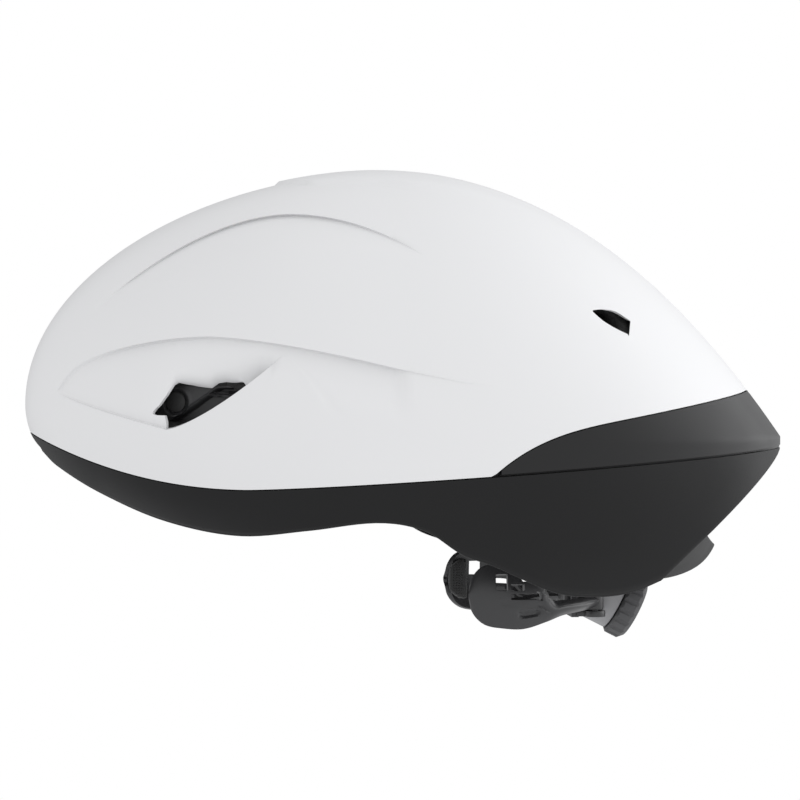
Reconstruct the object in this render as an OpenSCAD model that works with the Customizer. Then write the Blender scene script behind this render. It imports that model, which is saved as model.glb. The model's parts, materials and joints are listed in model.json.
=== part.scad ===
// Aero road bike helmet: painted shell, foam liner, exhaust tail and dial retention.
// Millimetres, +Z up, the front points to -X and the left side to -Y.
// The origin is the underside of the crown pad, where the top of the head bears.

/* [Shell outline] */
// Distance from the middle of the head back to the highest point
crown_x = 18; // [10:1:26]
// Height of the highest point above the head seat
crown_h = 28.7; // [26:0.1:34]
// Length from the highest point forward to the nose tip
nose_reach = 142.2; // [138:0.1:150]
// Depth of the nose tip below the highest point
nose_drop = 94.3; // [90:0.1:98]
// Length from the highest point back to the tail tip
tail_reach = 167.3; // [160:0.1:180]
// Depth of the tail tip below the highest point
tail_drop = 107.6; // [102:0.1:112]
// Overall width
shell_w = 206; // [200:1:220]
// Depth of the widest level below the highest point
belly_drop = 116.7; // [110:0.1:122]
// Wall of the upper shell
shell_t = 1.8; // [1.4:0.1:3]
// Wall of the lower shell and of the tail shell
lower_t = 2.4; // [1.8:0.1:3]
// Joint between the painted shell and the dark shells
seam_gap = 0.5; // [0.3:0.1:1]
// Depth of the return lip along the lower rim
rim_lip = 8; // [5:0.5:10]
// Height of the raised spine panel
spine_h = 1.3; // [0.8:0.1:2]

/* [Intakes] */
// Depth of the upper intake
upper_depth = 5; // [2:0.5:7]
// Depth of the lower intake under its sharp top edge
lower_depth = 7; // [3:0.5:9]
// Depth of the lower intake at the lip behind the opening
lip_depth = 11; // [7:0.5:13]
// Drop of the sharp intake edges
edge_drop = 1.2; // [0.8:0.1:2]

/* [Head and pads] */
// Half length of the hollow in the foam
head_half_l = 101; // [98:0.5:103]
// Half width of the hollow in the foam
head_half_w = 81; // [78:0.5:83]
// Height of the rounded top of the hollow
head_dome = 81; // [76:0.5:84]
// Thickness of the crown pad
pad_t = 6; // [4:0.5:8]
// Share of the crown that is left at the sewn channel across a pad
channel_share = 0.55; // [0.3:0.05:0.8]
// Gap between the foam and what lies on it
fit_gap = 0.6; // [0.4:0.1:1]
// Glue gap between the foam and the shells
foam_gap = 0.9; // [0.7:0.1:1.4]
// Distance from the middle of the head back to the joint between the two foam mouldings
foam_joint_x = 8; // [0:1:14]
// Glue line between the two foam mouldings
foam_joint = 0.3; // [0.2:0.05:0.5]

/* [Retention] */
// Width of the ladder strap
strap_w = 20; // [16:1:24]
// Thickness of the ladder strap
strap_t = 2.2; // [1.8:0.1:3]
// Length of the ladder strap
strap_l = 62; // [56:1:66]
// Spacing of the ladder slots
ladder_pitch = 6; // [5:0.5:8]
// Diameter of the hinge pins
pin_d = 2.5; // [2:0.1:3]
// Clearance round the strap in its guide and between the hinge ears
run_gap = 0.3; // [0.2:0.05:0.5]
// Running clearance round the hinge pins
pin_gap = 0.08; // [0.05:0.01:0.1]
// Diameter of the dial
dial_d = 27; // [24:0.5:30]
// Thickness of the dial
dial_t = 8; // [6:0.5:9]
// Number of grip notches on the dial
dial_notches = 18; // [12:1:24]
// Angle of the dial axis below level
dial_tilt = 27; // [20:1:32]
// Thickness of the cradle wings
wing_t = 2.4; // [2:0.1:3]

/* [Strap anchors] */
// Width of the webbing that the anchors take
webbing_w = 13; // [11:0.5:16]
// Thickness of the webbing slot
webbing_t = 3; // [2:0.1:4]

/* [Hidden] */

nose_x = crown_x - nose_reach;
nose_z = crown_h - nose_drop;
tail_x = crown_x + tail_reach;
belly_z = crown_h - belly_drop;
half_w = shell_w / 2;
// The nose curls back under its tip by this much over this depth
chin_back = 2;
chin_depth = 11.1;

// Powers that set the roundness of the outline
nose_pow = 1.8;
tail_pow = 2.2;
side_pow = 2.15;
front_egg = 2.3;
rear_egg = 2.4;

function spow(a, p) = a >= 0 ? pow(a, p) : -pow(-a, p);
function mix(a, b, f) = a + (b - a) * f;
function clamp(v, lo, hi) = max(lo, min(hi, v));
function ease(f) = let (c = clamp(f, 0, 1)) c * c * (3 - 2 * c);
function flat(list) = [for (row = list) each row];
function spread(a, b, n) = [for (i = [0 : n - 1]) mix(a, b, i / n)];

// Furthest forward and furthest back points of the shell at each height
function front_at(z) = z >= nose_z
    ? crown_x - nose_reach * spow(1 - pow((z - nose_z) / nose_drop, 2), 1 / nose_pow)
    : nose_x + chin_back * pow((nose_z - z) / chin_depth, 2);
function rear_at(z) = crown_x
    + min(tail_reach, tail_reach * spow((crown_h - z) / tail_drop, 1 / tail_pow));
function width_at(z) = z >= belly_z
    ? half_w * spow(1 - spow((z - belly_z) / belly_drop, side_pow), 1 / side_pow)
    : half_w - 6 * pow((belly_z - z) / 27, 2);

// Square of the half width at a point of the side view
function half_sq(x, z) = x < crown_x
    ? pow(width_at(z), 2) * (1 - pow((crown_x - x) / max(0.05, crown_x - front_at(z)), front_egg))
    : pow(width_at(z), 2) * (1 - pow((x - crown_x) / max(0.05, rear_at(z) - crown_x), rear_egg));
function half_at(x, z) = sqrt(max(0, half_sq(x, z)));

// Top and bottom of the silhouette at each station
function top_at(x) = x < crown_x
    ? nose_z + nose_drop * sqrt(max(0, 1 - pow((crown_x - x) / nose_reach, nose_pow)))
    : crown_h - tail_drop * pow(min(1, (x - crown_x) / tail_reach), tail_pow);
function chin_at(x) = nose_z - chin_depth * sqrt(max(0, (x - nose_x) / chin_back));

// Feature lines of the side view
seam_low = -96.9;
seam_x = -38;
seam_nose_x = nose_x + 2;
function seam_line(x) = x < seam_x
    ? seam_low + 20.4 * pow((seam_x - x) / 84.2, 2.1)
    : seam_low + 14.4 * pow((x - seam_x) / 223, 1.2);
function seam_at(x) = max(seam_line(x), chin_at(x));

tail_edge_x = 57;
white_end_x = 171;
function tail_edge(x) = top_at(white_end_x) - 0.176 * (white_end_x - x)
    - 11.4 * pow(max(0, 112 - x) / 55, 3.3);
function white_low(x) = x < tail_edge_x ? seam_at(x) : max(seam_at(x), tail_edge(x));

rim_knots = [[-118, -84.2], [-112, -90], [-95, -100], [-70, -110.3], [-42, -115.3], [-15, -112.8],
    [12, -109.7], [30, -113], [45, -122.5], [57, -127], [84, -138.6], [102, -140.4], [115, -138.8],
    [127, -134.2]];
fin_x = 127;
function knot(k, i) = k[clamp(i, 0, len(k) - 1)];
function span_of(k, x, i = 0) = i >= len(k) - 2 || x < k[i + 1][0] ? i : span_of(k, x, i + 1);
function slope(k, i) = (knot(k, i + 1)[1] - knot(k, i - 1)[1])
    / max(0.001, knot(k, i + 1)[0] - knot(k, i - 1)[0]);
function curve(k, x) = let (
        i = span_of(k, x), a = k[i], b = k[i + 1], w = b[0] - a[0],
        f = clamp((x - a[0]) / w, 0, 1), f2 = f * f, f3 = f2 * f)
    (2 * f3 - 3 * f2 + 1) * a[1] + (f3 - 2 * f2 + f) * w * slope(k, i)
    + (3 * f2 - 2 * f3) * b[1] + (f3 - f2) * w * slope(k, i + 1);
function rim_at(x) = x < fin_x ? curve(rim_knots, x)
    : mix(rim_knots[13][1], -83.6, spow((x - fin_x) / 57.5, 0.94));

// Intake lines: sharp edge and soft edge of the upper one, then of the lower one
upper_peak_x = -20;
upper_tip_x = -96;
upper_end_x = 30;
function upper_edge(x) = x < upper_peak_x ? 10.2 - 37.2 * pow((upper_peak_x - x) / 76, 1.8)
    : x < upper_end_x ? 10.2 - 15.7 * pow((x - upper_peak_x) / 50, 2)
    : -5.5 - 0.2 * (x - upper_end_x);
function upper_soft(x) = x < -18 ? -4.7 - 18.6 * pow((-18 - x) / 65, 1.8)
    : x < upper_end_x ? -4.7 - 2 * pow((x + 18) / 48, 2)
    : -6.7 - 0.22 * (x - upper_end_x);

lower_tip_x = -110.7;
lower_peak_x = -52;
lip_x = -69;
lip_end_x = -21.2;
lower_fade_x = 57;
function lower_edge(x) = x < lower_peak_x
    ? -38.1 - 3 * pow((lower_peak_x - x) / 28, 2) - 7.6 * pow((lower_peak_x - x) / 58.7, 12)
    : x < 19 ? -38.1 - 10.6 * pow((x - lower_peak_x) / 64, 1.45)
    : x < 45 ? -50.4 - 0.2 * (x - 19)
    : -55.6 - 0.08 * (x - 45);
function lower_line(x) = x < lip_x
    ? -59.6 - 14 * pow(max(0, x - lower_tip_x) / 41.7, 0.75)
    : -73.6 + 29.4 * pow((x - lip_x) / 47.8, 1.07);

hole_x0 = -75.4;
hole_x1 = -42;
hole_top = [[-110, 0.55], [-84, 0.7], [-75.4, 0.85], [-68, 0.5], [-60, 0.61], [-51, 0.76],
    [-42, 0.95], [-30, 0.6], [-21, 0.4]];
hole_low = [[-110, 0.8], [-75.4, 0.91], [-71, 0.9], [-69, 0.97], [-42, 0.975], [-30, 0.8], [-21, 0.7]];

slot_x0 = 97;
slot_x1 = 113;
slot_top = [[97, -28], [101, -27.8], [107, -28.8], [113, -32.6]];
slot_low = [[97, -30], [101, -33.6], [107, -36.4], [113, -38.2]];

// Heights of the rows that run from nose to tail, top row first, down to the white lower edge
function upper_rows(x) = let (e = upper_edge(x), s = upper_soft(x))
    [e, e - edge_drop, mix(e - edge_drop, s, 0.45), s];
function slot_rows(x) = let (a = upper_soft(x), b = lower_edge(x), f = ease((x - 60) / 36),
        s = mix(mix(a, b, 0.3), curve(slot_top, x), f), t = mix(mix(a, b, 0.6), curve(slot_low, x), f))
    [s, t, mix(t, b, 0.5)];
function lower_rows(x) = let (
        e = lower_edge(x), d = e - edge_drop, low = white_low(x), away = ease((x - lip_end_x) / 36),
        line = mix(lower_line(min(x, lip_end_x)), e - 5, ease((x - lip_end_x) / 8)),
        r = x < lip_end_x ? line : mix(line, mix(d, low, 0.5), away),
        r2 = mix(r - edge_drop, mix(d, low, 0.7), away))
    [e, d, mix(d, r, lookup(x, hole_top)), mix(d, r, lookup(x, hole_low)), r, r2, mix(r2, low, 0.5)];
function part_of(z, x) = (z - white_low(x)) / max(0.01, top_at(x) - white_low(x));
function rows_at(x) = let (
        t = top_at(x), b = white_low(x), xu = clamp(x, upper_tip_x, slot_x1),
        xl = clamp(x, lower_tip_x, slot_x1),
        creases = concat([for (z = upper_rows(xu)) part_of(z, xu)],
            [for (z = slot_rows(xl)) part_of(z, xl)], [for (z = lower_rows(xl)) part_of(z, xl)]),
        e = mix(b, t, creases[0]))
    concat([for (f = [0 : 0.25 : 0.75]) mix(t, e, f * f)], [for (c = creases) mix(b, t, c)], [b]);

// How far each row is pressed in, row by row as above
lower_press = [[-110.7, 0], [-95, 0.5], [-75, 0.9], [-50, 1], [-21, 0.6], [19, 0.25], [57, 0]];
lip_press = [[-90, 0], [-75, 0.45], [-69, 1], [-55, 1], [-42, 0.85], [-30, 0.6], [-21, 0.4]];
function press_at(x) = let (
        u = upper_depth * pow(max(0, sin(180 * clamp((x - upper_tip_x) / 126, 0, 1))), 0.7),
        d = lower_depth * curve(lower_press, x),
        p = x < lip_end_x + 0.1 ? lip_depth * curve(lip_press, x) : d * 0.5,
        s = -spine_h * ease((x + 22.8) / 1.6) * (1 - ease((x - 20) / 70)),
        g = x < lip_end_x + 0.1 ? 0 : d * 0.25)
    [s, s, s * 0.6, 0, 0, u, u * 0.45, 0, 0, 0, 0, 0, d, mix(d, p, 0.5), mix(d, p, 0.9), p, g, 0, 0];

// Outward direction of the shell, from the slope of its squared width
function out_dir(x, y, z) = let (
        h = 0.2,
        v = [half_sq(x - h, z) - half_sq(x + h, z), 4 * h * y, half_sq(x, z - h) - half_sq(x, z + h)])
    v / max(0.000001, norm(v));
function skin_point(x, z, side, depth) = let (y = side * half_at(x, z) + 0, n = out_dir(x, y, z))
    [x, y, z] - depth * n;
function mirror_rows(list) = let (n = len(list))
    concat([for (i = [n - 1 : -1 : 1]) [list[i], -1, i]], [for (i = [0 : n - 1]) [list[i], 1, i]]);

// Stations from nose to tail, with one at each break of the feature lines
white_x = concat([nose_x, nose_x + 0.6], spread(seam_nose_x, lower_tip_x, 3),
    spread(lower_tip_x, hole_x0, 5), spread(hole_x0, lip_x, 2), spread(lip_x, hole_x1, 4),
    spread(hole_x1, -22.8, 2), [-22.8], spread(lip_end_x, upper_end_x, 4),
    spread(upper_end_x, tail_edge_x, 2), spread(tail_edge_x, slot_x0, 3),
    spread(slot_x0, slot_x1, 3), spread(slot_x1, 165, 5), [165, 169, white_end_x]);

function row_skin(xs, depth) = [for (x = xs) let (p = press_at(x))
    [for (r = mirror_rows(rows_at(x))) skin_point(x, r[0], r[1], depth + p[r[2]])]];

// A wall between two grids of points, open where a cell is left out
module wall(outer, inner, open = function (i, j) false) {
    ni = len(outer) - 1;
    nj = len(outer[0]) - 1;
    pts = concat(flat(outer), flat(inner));
    shift = (ni + 1) * (nj + 1);
    filled = function (i, j) i >= 0 && i < ni && j >= 0 && j < nj && !open(i, j);
    id = function (i, j) i * (nj + 1) + j;
    joined = function (a, b) abs(pts[a][1]) < 0.001 && abs(pts[b][1]) < 0.001;
    side = function (a, b, bare) bare && !joined(a, b) ? [[a, b, b + shift, a + shift]] : [];
    quads = [for (i = [0 : ni - 1], j = [0 : nj - 1]) if (filled(i, j)) let (
            a = id(i, j), b = id(i + 1, j), c = id(i + 1, j + 1), d = id(i, j + 1))
        each concat([[d, c, b, a], [d + shift, a + shift, b + shift, c + shift]],
            side(a, b, !filled(i, j - 1)), side(b, c, !filled(i + 1, j)),
            side(c, d, !filled(i, j + 1)), side(d, a, !filled(i - 1, j)))];
    tris = [for (q = quads) each pts[q[0]][1] + pts[q[2]][1] > 0
        ? [[q[0], q[1], q[3]], [q[1], q[2], q[3]]] : [[q[0], q[1], q[2]], [q[0], q[2], q[3]]]];
    apart = function (t) norm(pts[t[0]] - pts[t[1]]) > 0.0001 && norm(pts[t[1]] - pts[t[2]]) > 0.0001
        && norm(pts[t[2]] - pts[t[0]]) > 0.0001;
    polyhedron(points = pts, faces = [for (t = tris) if (apart(t)) t], convexity = 8);
}

// Painted upper shell with two pressed intakes, an opening and an exhaust slot on each side
side_rows = 18;
module outer_shell() {
    outer = row_skin(white_x, 0);
    inner = row_skin(white_x, shell_t);
    open = function (i, j) let (x = (white_x[i] + white_x[i + 1]) / 2,
            k = j < side_rows ? side_rows - 1 - j : j - side_rows)
        (x > hole_x0 && x < hole_x1 && k == 13) || (x > slot_x0 && x < slot_x1 && k == 8);
    color("white") wall(outer, inner, open);
}

// Dark tail shell behind the painted one: two side arms that join across the tail
tail_join_x = white_end_x + 0.6;
tail_stations = concat(spread(tail_edge_x + 2, white_end_x - 1, 12), [white_end_x - 1],
    spread(tail_join_x, tail_x - 0.6, 5), [tail_x - 0.6]);
module tail_shell() {
    rows = function (x) let (
            t = x < tail_join_x ? tail_edge(x) - seam_gap : top_at(x),
            b = min(t - 0.3, seam_at(x) + seam_gap))
        [for (f = [0, 0.1, 0.3, 0.6, 1]) mix(t, b, f)];
    grid = function (depth) [for (x = tail_stations) let (zs = rows(x))
        concat([for (i = [4 : -1 : 0]) skin_point(x, zs[i], -1, depth)],
            [for (i = [0 : 4]) skin_point(x, zs[i], 1, depth)])];
    color("#3a3a3c") wall(grid(0), grid(lower_t), function (i, j) j == 4 && tail_stations[i] < tail_join_x);
}

// Lower shell: wraps the brow, sides and tail fins, with a return lip along its rim
lower_steps = concat([for (i = [0 : 10]) i / 10], [for (i = [1 : 11]) 1 + i / 11]);
fin_end_x = 180.5;
lip_run = [[100, 1], [122, 0.45], [132, 0.05]];
function lower_x(f, r) = let (x0 = mix(nose_x + 2, nose_x + 6.7, r))
    f <= 1 ? mix(x0, crown_x, 1 - cos(90 * f)) : mix(crown_x, fin_end_x, f - 1);
function lower_z(x, r, up = 0) = mix(seam_at(x) - seam_gap, rim_at(x) + up, r);
function lower_point(f, r, side, depth, up = 0) = let (
        x = lower_x(f, r), z = lower_z(x, r, up), y = f == 0 ? 0 : side * half_at(x, z) + 0,
        n = out_dir(x, y, z))
    [x, y, z] - depth * n;
function level(v) = let (h = [v[0], v[1], 0]) h / max(0.0001, norm(h));
function lip_point(f, side, up) = let (
        p = lower_point(f, 1, side, 0), n = level(out_dir(p[0], p[1], p[2])),
        run = lower_t + (rim_lip - lower_t) * lookup(p[0], lip_run))
    p - run * n + [0, 0, up];
module lower_shell() {
    path = concat([for (i = [len(lower_steps) - 1 : -1 : 1]) [lower_steps[i], -1]],
        [for (f = lower_steps) [f, 1]]);
    rows = [0, 0.35, 0.7, 1];
    outer = [for (p = path) concat([for (r = rows) lower_point(p[0], r, p[1], 0)],
        [lip_point(p[0], p[1], 0.8)])];
    inner = [for (p = path) concat([for (r = rows) lower_point(p[0], r, p[1], lower_t, lower_t)],
        [lip_point(p[0], p[1], 0.8 + lower_t)])];
    color("#232325") wall(outer, inner);
}

// Hollow for the head: a half dome on a straight sided oval
dome_z = -75;
module head_hollow() {
    translate([0, 0, dome_z]) scale([head_half_l, head_half_w, head_dome]) sphere(1, $fn = 44);
    translate([0, 0, dome_z - 90]) scale([head_half_l, head_half_w, 1]) cylinder(h = 90, r = 1, $fn = 44);
}
module ball_run(a, b, r) {
    hull() {
        translate(a) sphere(r, $fn = 14);
        translate(b) sphere(r, $fn = 14);
    }
}
function dome_point(x, y, in) = let (
        q = 1 - pow(x / head_half_l, 2) - pow(y / head_half_w, 2), z = dome_z + head_dome * sqrt(max(0, q)),
        n = [x / pow(head_half_l, 2), y / pow(head_half_w, 2), (z - dome_z) / pow(head_dome, 2)])
    [x, y, z] - in * n / norm(n);
function wall_point(angle, z, in) = let (
        k = z <= dome_z ? 1 : sqrt(max(0, 1 - pow((z - dome_z) / head_dome, 2))),
        x = head_half_l * k * cos(angle), y = head_half_w * k * sin(angle),
        n = [x / pow(head_half_l, 2), y / pow(head_half_w, 2), max(0, z - dome_z) / pow(head_dome, 2)])
    [x, y, z] - in * n / norm(n);

// Foam liner: follows the shells outside and the head inside, with air channels and ports
fin_angle = 41.3;
fin_setback = 18;
nape_half = 56;
nape_z = -124;
pocket_half = 17;
pocket_x = 111;
channel_r = 6;
channel_y = 34;
channel_x = [-84, -42, 0, 42, 80];
port_low = -71.2;
port_h = 13.4;
duct_x = 80;
duct_half = 34;
liner_x = [for (x = white_x) if (x < 166) x];
function liner_loop(x) = let (
        p = press_at(x), front = rim_lip * ease((-60 - x) / 50),
        low = max(rim_at(x - front) + lower_t + 1.3, chin_at(x)), seam = max(seam_at(x), low),
        white = rows_at(x), b = white[len(white) - 1],
        zs = concat(white, [mix(b, seam, 0.5), seam, mix(seam, low, 0.5), low]),
        thick = x < seam_nose_x || x > white_end_x - 30 ? lower_t : shell_t,
        ds = concat([for (d = p) d + thick + foam_gap],
            [for (i = [0 : 3]) lower_t + foam_gap]))
    [for (r = mirror_rows(zs)) skin_point(x, r[0], r[1], ds[r[2]])];
module foam_block() {
    loops = [for (x = liner_x) liner_loop(x)];
    n = len(loops[0]);
    last = len(loops) - 1;
    pts = concat(flat(loops), [[liner_x[last], 0, -80]]);
    sides = [for (i = [0 : last - 1], j = [0 : n - 1]) let (
            a = i * n + j, b = a + n, d = i * n + (j + 1) % n, c = d + n)
        each pts[a][1] + pts[c][1] > 0 ? [[d, c, a], [c, b, a]] : [[d, c, b], [d, b, a]]];
    cap = [for (j = [0 : n - 1]) [last * n + (j + 1) % n, len(pts) - 1, last * n + j]];
    apart = function (t) norm(pts[t[0]] - pts[t[1]]) > 0.0001 && norm(pts[t[1]] - pts[t[2]]) > 0.0001
        && norm(pts[t[2]] - pts[t[0]]) > 0.0001;
    polyhedron(points = pts, faces = [for (t = concat(sides, cap)) if (apart(t)) t], convexity = 8);
}
module side_port(side) {
    hull() {
        translate([hole_x0 - 1, side * (half_w - 13) - 6, port_low]) cube([hole_x1 - hole_x0 - 4, 12, port_h]);
        translate([hole_x0 + 1, side * (half_w - 41) - 4, port_low]) cube([40, 8, port_h]);
    }
}
module slot_port(side) {
    hull() {
        translate([slot_x0 + 1, side * (half_w - 29) - 8, -37]) cube([slot_x1 - slot_x0 - 4, 16, 8.5]);
        translate([70, side * channel_y - 6, -42]) cube([12, 12, 10]);
    }
}
module liner_cut() {
    difference() {
        foam_block();
        head_hollow();
        for (side = [-1, 1]) {
            side_port(side);
            slot_port(side);
            for (k = [0 : len(channel_x) - 2]) ball_run(dome_point(channel_x[k], side * channel_y, -1),
                dome_point(channel_x[k + 1], side * channel_y, -1), channel_r);
        }
        hull() {
            translate([duct_x, -duct_half, -112]) cube([4, 2 * duct_half, 30]);
            translate([172, 4 - duct_half, -118]) cube([4, 2 * duct_half - 8, 28]);
        }
        translate([fin_x - fin_setback, 0, rim_knots[13][1]]) rotate([0, -fin_angle, 0])
            translate([-60, -shell_w / 2 - 10, -200]) cube([tail_reach + 100, shell_w + 20, 200]);
        translate([60, -nape_half, nape_z - 50]) cube([tail_reach, 2 * nape_half, 50]);
        translate([duct_x, -pocket_half, nape_z - 4]) cube([pocket_x - duct_x, 2 * pocket_half, 50]);
    }
}
module liner_part(x0, x1) {
    color("#1c1c1e") intersection() {
        liner_cut();
        translate([x0, -shell_w, -shell_w]) cube([x1 - x0, 2 * shell_w, 2 * shell_w]);
    }
}
module eps_front() {
    liner_part(nose_x, foam_joint_x - foam_joint / 2);
}
module eps_rear() {
    liner_part(foam_joint_x + foam_joint / 2, tail_x);
}

// Exhaust tray: the curved scoop between the tail fins
tray_x = 130;
tray_lip_x = 157;
tray_z = -134;
tray_t = 2.6;
function tray_point(t, f, up) = let (
        x = mix(tray_x, tray_lip_x - 16 * t * t, f), z = tray_z + 14 * pow(abs(t), 3) * (1 - 0.14 * f) + 12 * pow(f, 4),
        h = half_at(x, z), n = out_dir(x, h, z), y = t * (h - (lower_t + fit_gap) / n[1] - 0.8))
    [x - up * 0.8 * pow(f, 3), y, z + up * (1 - 0.6 * pow(f, 3))];
module exhaust_tray() {
    cross = [for (i = [-8 : 8]) i / 8];
    run = [for (i = [0 : 7]) pow(i / 7, 0.8)];
    color("#1e1e20") wall([for (t = cross) [for (f = run) tray_point(t, f, 0)]],
        [for (t = cross) [for (f = run) tray_point(t, f, tray_t)]]);
}

// Vent insert: the bracket in the side opening, with a seat for the shield magnet
magnet_d = 8;
magnet_t = 2;
magnet_x = -65;
magnet_z = -63.6;
magnet_in = 16.6;
magnet_at = [magnet_x, magnet_in - half_at(magnet_x, magnet_z), magnet_z];
magnet_turn = 24;
module at_magnet(side) {
    translate([magnet_at[0], -side * magnet_at[1], magnet_at[2]]) rotate([0, 0, side * magnet_turn])
        rotate([-side * 90, 0, 0]) children();
}
module vent_insert(side) {
    color("#161618") difference() {
        union() {
            at_magnet(side) translate([0, 0, -6]) cylinder(h = 6, d = magnet_d + 2.4, $fn = 48);
            at_magnet(side) translate([-5.2, -5.2, -8]) cube([26, 10.4, 2.5]);
        }
        at_magnet(side) translate([0, 0, -magnet_t]) cylinder(h = magnet_t + 2, d = magnet_d + 0.2, $fn = 48);
    }
}
module shield_magnet(side) {
    color("#55575a") at_magnet(side) translate([0, 0, -magnet_t]) cylinder(h = magnet_t, d = magnet_d, $fn = 48);
}

// Webbing anchors on the inside of the rim
anchor_t = 3;
anchor_h = 16;
module anchor(angle, side, z) {
    p = wall_point(angle, z, fit_gap + 0.6);
    n = level([p[0] / pow(head_half_l, 2), p[1] / pow(head_half_w, 2), 0]);
    color("#141416") translate([p[0], side * p[1], z]) rotate([0, 0, side * atan2(n[1], n[0])])
        translate([-anchor_t, -(webbing_w + 8) / 2, 0]) difference() {
            cube([anchor_t, webbing_w + 8, anchor_h]);
            translate([-1, 4, 3]) cube([anchor_t + 2, webbing_w, webbing_t]);
        }
}
front_angle = 118;
rear_angle = 66;
anchor_z = -106;

// Cushion on the hollow: crowned, drawn in at its sides, with a sewn channel across
function puff(u, v, t) = let (
        e = pow(max(0, sin(180 * u)) * max(0, sin(180 * v)), 0.45),
        c = abs(u - 0.5) < 0.02 ? channel_share : 1)
    t * (0.22 + 0.78 * e * c);
function drawn(f, g) = 0.5 + (f - 0.5) * (1 - 0.1 * pow(abs(2 * g - 1), 2));
pad_us = [0, 0.05, 0.14, 0.26, 0.38, 0.45, 0.5, 0.55, 0.62, 0.74, 0.86, 0.95, 1];
pad_vs = [0, 0.08, 0.25, 0.5, 0.75, 0.92, 1];
module wall_pad(a0, a1, z0, z1, t) {
    at = function (u, v, in) wall_point(mix(a0, a1, drawn(u, v)), mix(z0, z1, drawn(v, u)), in);
    color("#262628") wall([for (u = pad_us) [for (v = pad_vs) at(u, v, fit_gap)]],
        [for (u = pad_us) [for (v = pad_vs) at(u, v, fit_gap + puff(u, v, t))]]);
}
brow_a = [132, 228];
brow_z = [-84, -62];
side_a = [60, 104];
side_z = [-78, -54];
crown_run = [-62, 50];
crown_half = 17;
module crown_pad() {
    at = function (u, v, in) dome_point(mix(crown_run[0], crown_run[1], drawn(u, v)),
        mix(-crown_half, crown_half, drawn(v, u)), in);
    color("#262628") wall([for (u = pad_us) [for (v = pad_vs) at(u, v, fit_gap)]],
        [for (u = pad_us) [for (v = pad_vs) at(u, v, fit_gap + puff(u, v, pad_t - fit_gap))]]);
}
module brow_pad() {
    wall_pad(brow_a[0], brow_a[1], brow_z[0], brow_z[1], pad_t - 1.5);
}
module side_pad(side) {
    if (side < 0) mirror([0, 1, 0]) side_pad(1);
    else wall_pad(side_a[0], side_a[1], side_z[0], side_z[1], pad_t);
}

// Retention: bracket and pin in the foam, then the guide that swings on the pin
strap_x = 96.5;
pin_x = 104;
pin_z = -104;
guide_half = strap_w / 2 + 3;
ear_t = 3;
module along_y(d, l, fn = 32) {
    rotate([90, 0, 0]) cylinder(h = l, d = d, center = true, $fn = fn);
}
module hanger_bracket() {
    y0 = guide_half + 0.5;
    color("#1a1a1c") difference() {
        union() {
            translate([pocket_x - 3.4, -y0 - ear_t, pin_z - 9]) cube([3, 2 * (y0 + ear_t), 18]);
            for (y = [-y0 - ear_t, y0]) translate([pin_x - 3.4, y, pin_z - 5]) cube([pocket_x - pin_x, ear_t, 10]);
        }
        translate([pin_x, 0, pin_z]) along_y(pin_d + 0.1, 60);
    }
}
module hanger_pin() {
    color("#8f9296") translate([pin_x, 0, pin_z]) along_y(pin_d, 2 * (guide_half + 0.5 + ear_t));
}
module ladder_guide() {
    slot_w = strap_w + 2 * run_gap;
    slot_t = strap_t + 2 * run_gap;
    color("#202022") difference() {
        union() {
            translate([strap_x - slot_t / 2 - 2, -guide_half, pin_z - 7]) cube([slot_t + 4, 2 * guide_half, 14]);
            translate([strap_x, -9, pin_z - 2.5]) cube([pin_x - strap_x, 18, 5]);
            translate([pin_x, 0, pin_z]) along_y(pin_d + 3.4, 18);
        }
        translate([strap_x - slot_t / 2, -slot_w / 2, pin_z - 10]) cube([slot_t, slot_w, 20]);
        translate([pin_x, 0, pin_z]) along_y(pin_d + 2 * pin_gap, 60);
    }
}
strap_low = -147;
module ladder_strap() {
    color("#1b1b1d") difference() {
        translate([strap_x - strap_t / 2, -strap_w / 2, strap_low]) cube([strap_t, strap_w, strap_l]);
        for (k = [0 : 6]) translate([strap_x - strap_t, -5, strap_low + 14 + k * ladder_pitch]) cube([2 * strap_t, 10, 3]);
    }
}

// Cradle: yoke on the strap, dial housing behind it and the wings on upright pins
dial_x = 122.3;
dial_z = -149;
housing_d = 24;
housing_l = 11;
housing_gap = 0.5;
screw_y = 10.2;
spool_d = 15;
wing_pin_x = 107;
wing_pin_y = 17;
knuckle_z0 = -149.4;
knuckle_z1 = -142;
module at_dial() {
    translate([dial_x, 0, dial_z]) rotate([0, 90 + dial_tilt, 0]) children();
}
module cradle_yoke() {
    plate_x = strap_x + strap_t / 2 + 0.05;
    color("#1d1d1f") difference() {
        union() {
            translate([plate_x, -15, -152.5]) cube([3, 30, 15]);
            translate([plate_x, -7, -151]) cube([14, 14, 12]);
            for (z = [knuckle_z1 + run_gap, knuckle_z0 - run_gap - 2.4], y = [-1, 1]) {
                translate([wing_pin_x, y * wing_pin_y, z]) cylinder(h = 2.4, d = 8.4, $fn = 32);
                translate([plate_x + 2, y * wing_pin_y / 2 - 8, z]) cube([wing_pin_x - plate_x - 2, 16, 2.4]);
            }
        }
        at_dial() translate([0, 0, -dial_t / 2 - housing_gap - housing_l - 0.05])
            cylinder(h = 40, d = housing_d + 0.1, $fn = 64);
        at_dial() for (y = [-1, 1]) translate([0, y * screw_y, -dial_t / 2 - housing_gap - housing_l - 3])
            cylinder(h = 4, d = 4.2, $fn = 32);
        for (y = [-1, 1]) translate([wing_pin_x, y * wing_pin_y, -160]) cylinder(h = 30, d = pin_d + 0.1, $fn = 32);
    }
}
module wing_pins() {
    color("#8f9296") for (y = [-1, 1]) translate([wing_pin_x, y * wing_pin_y, knuckle_z0 - run_gap - 2.4])
        cylinder(h = knuckle_z1 - knuckle_z0 + 2 * run_gap + 4.8, d = pin_d, $fn = 32);
}
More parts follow.
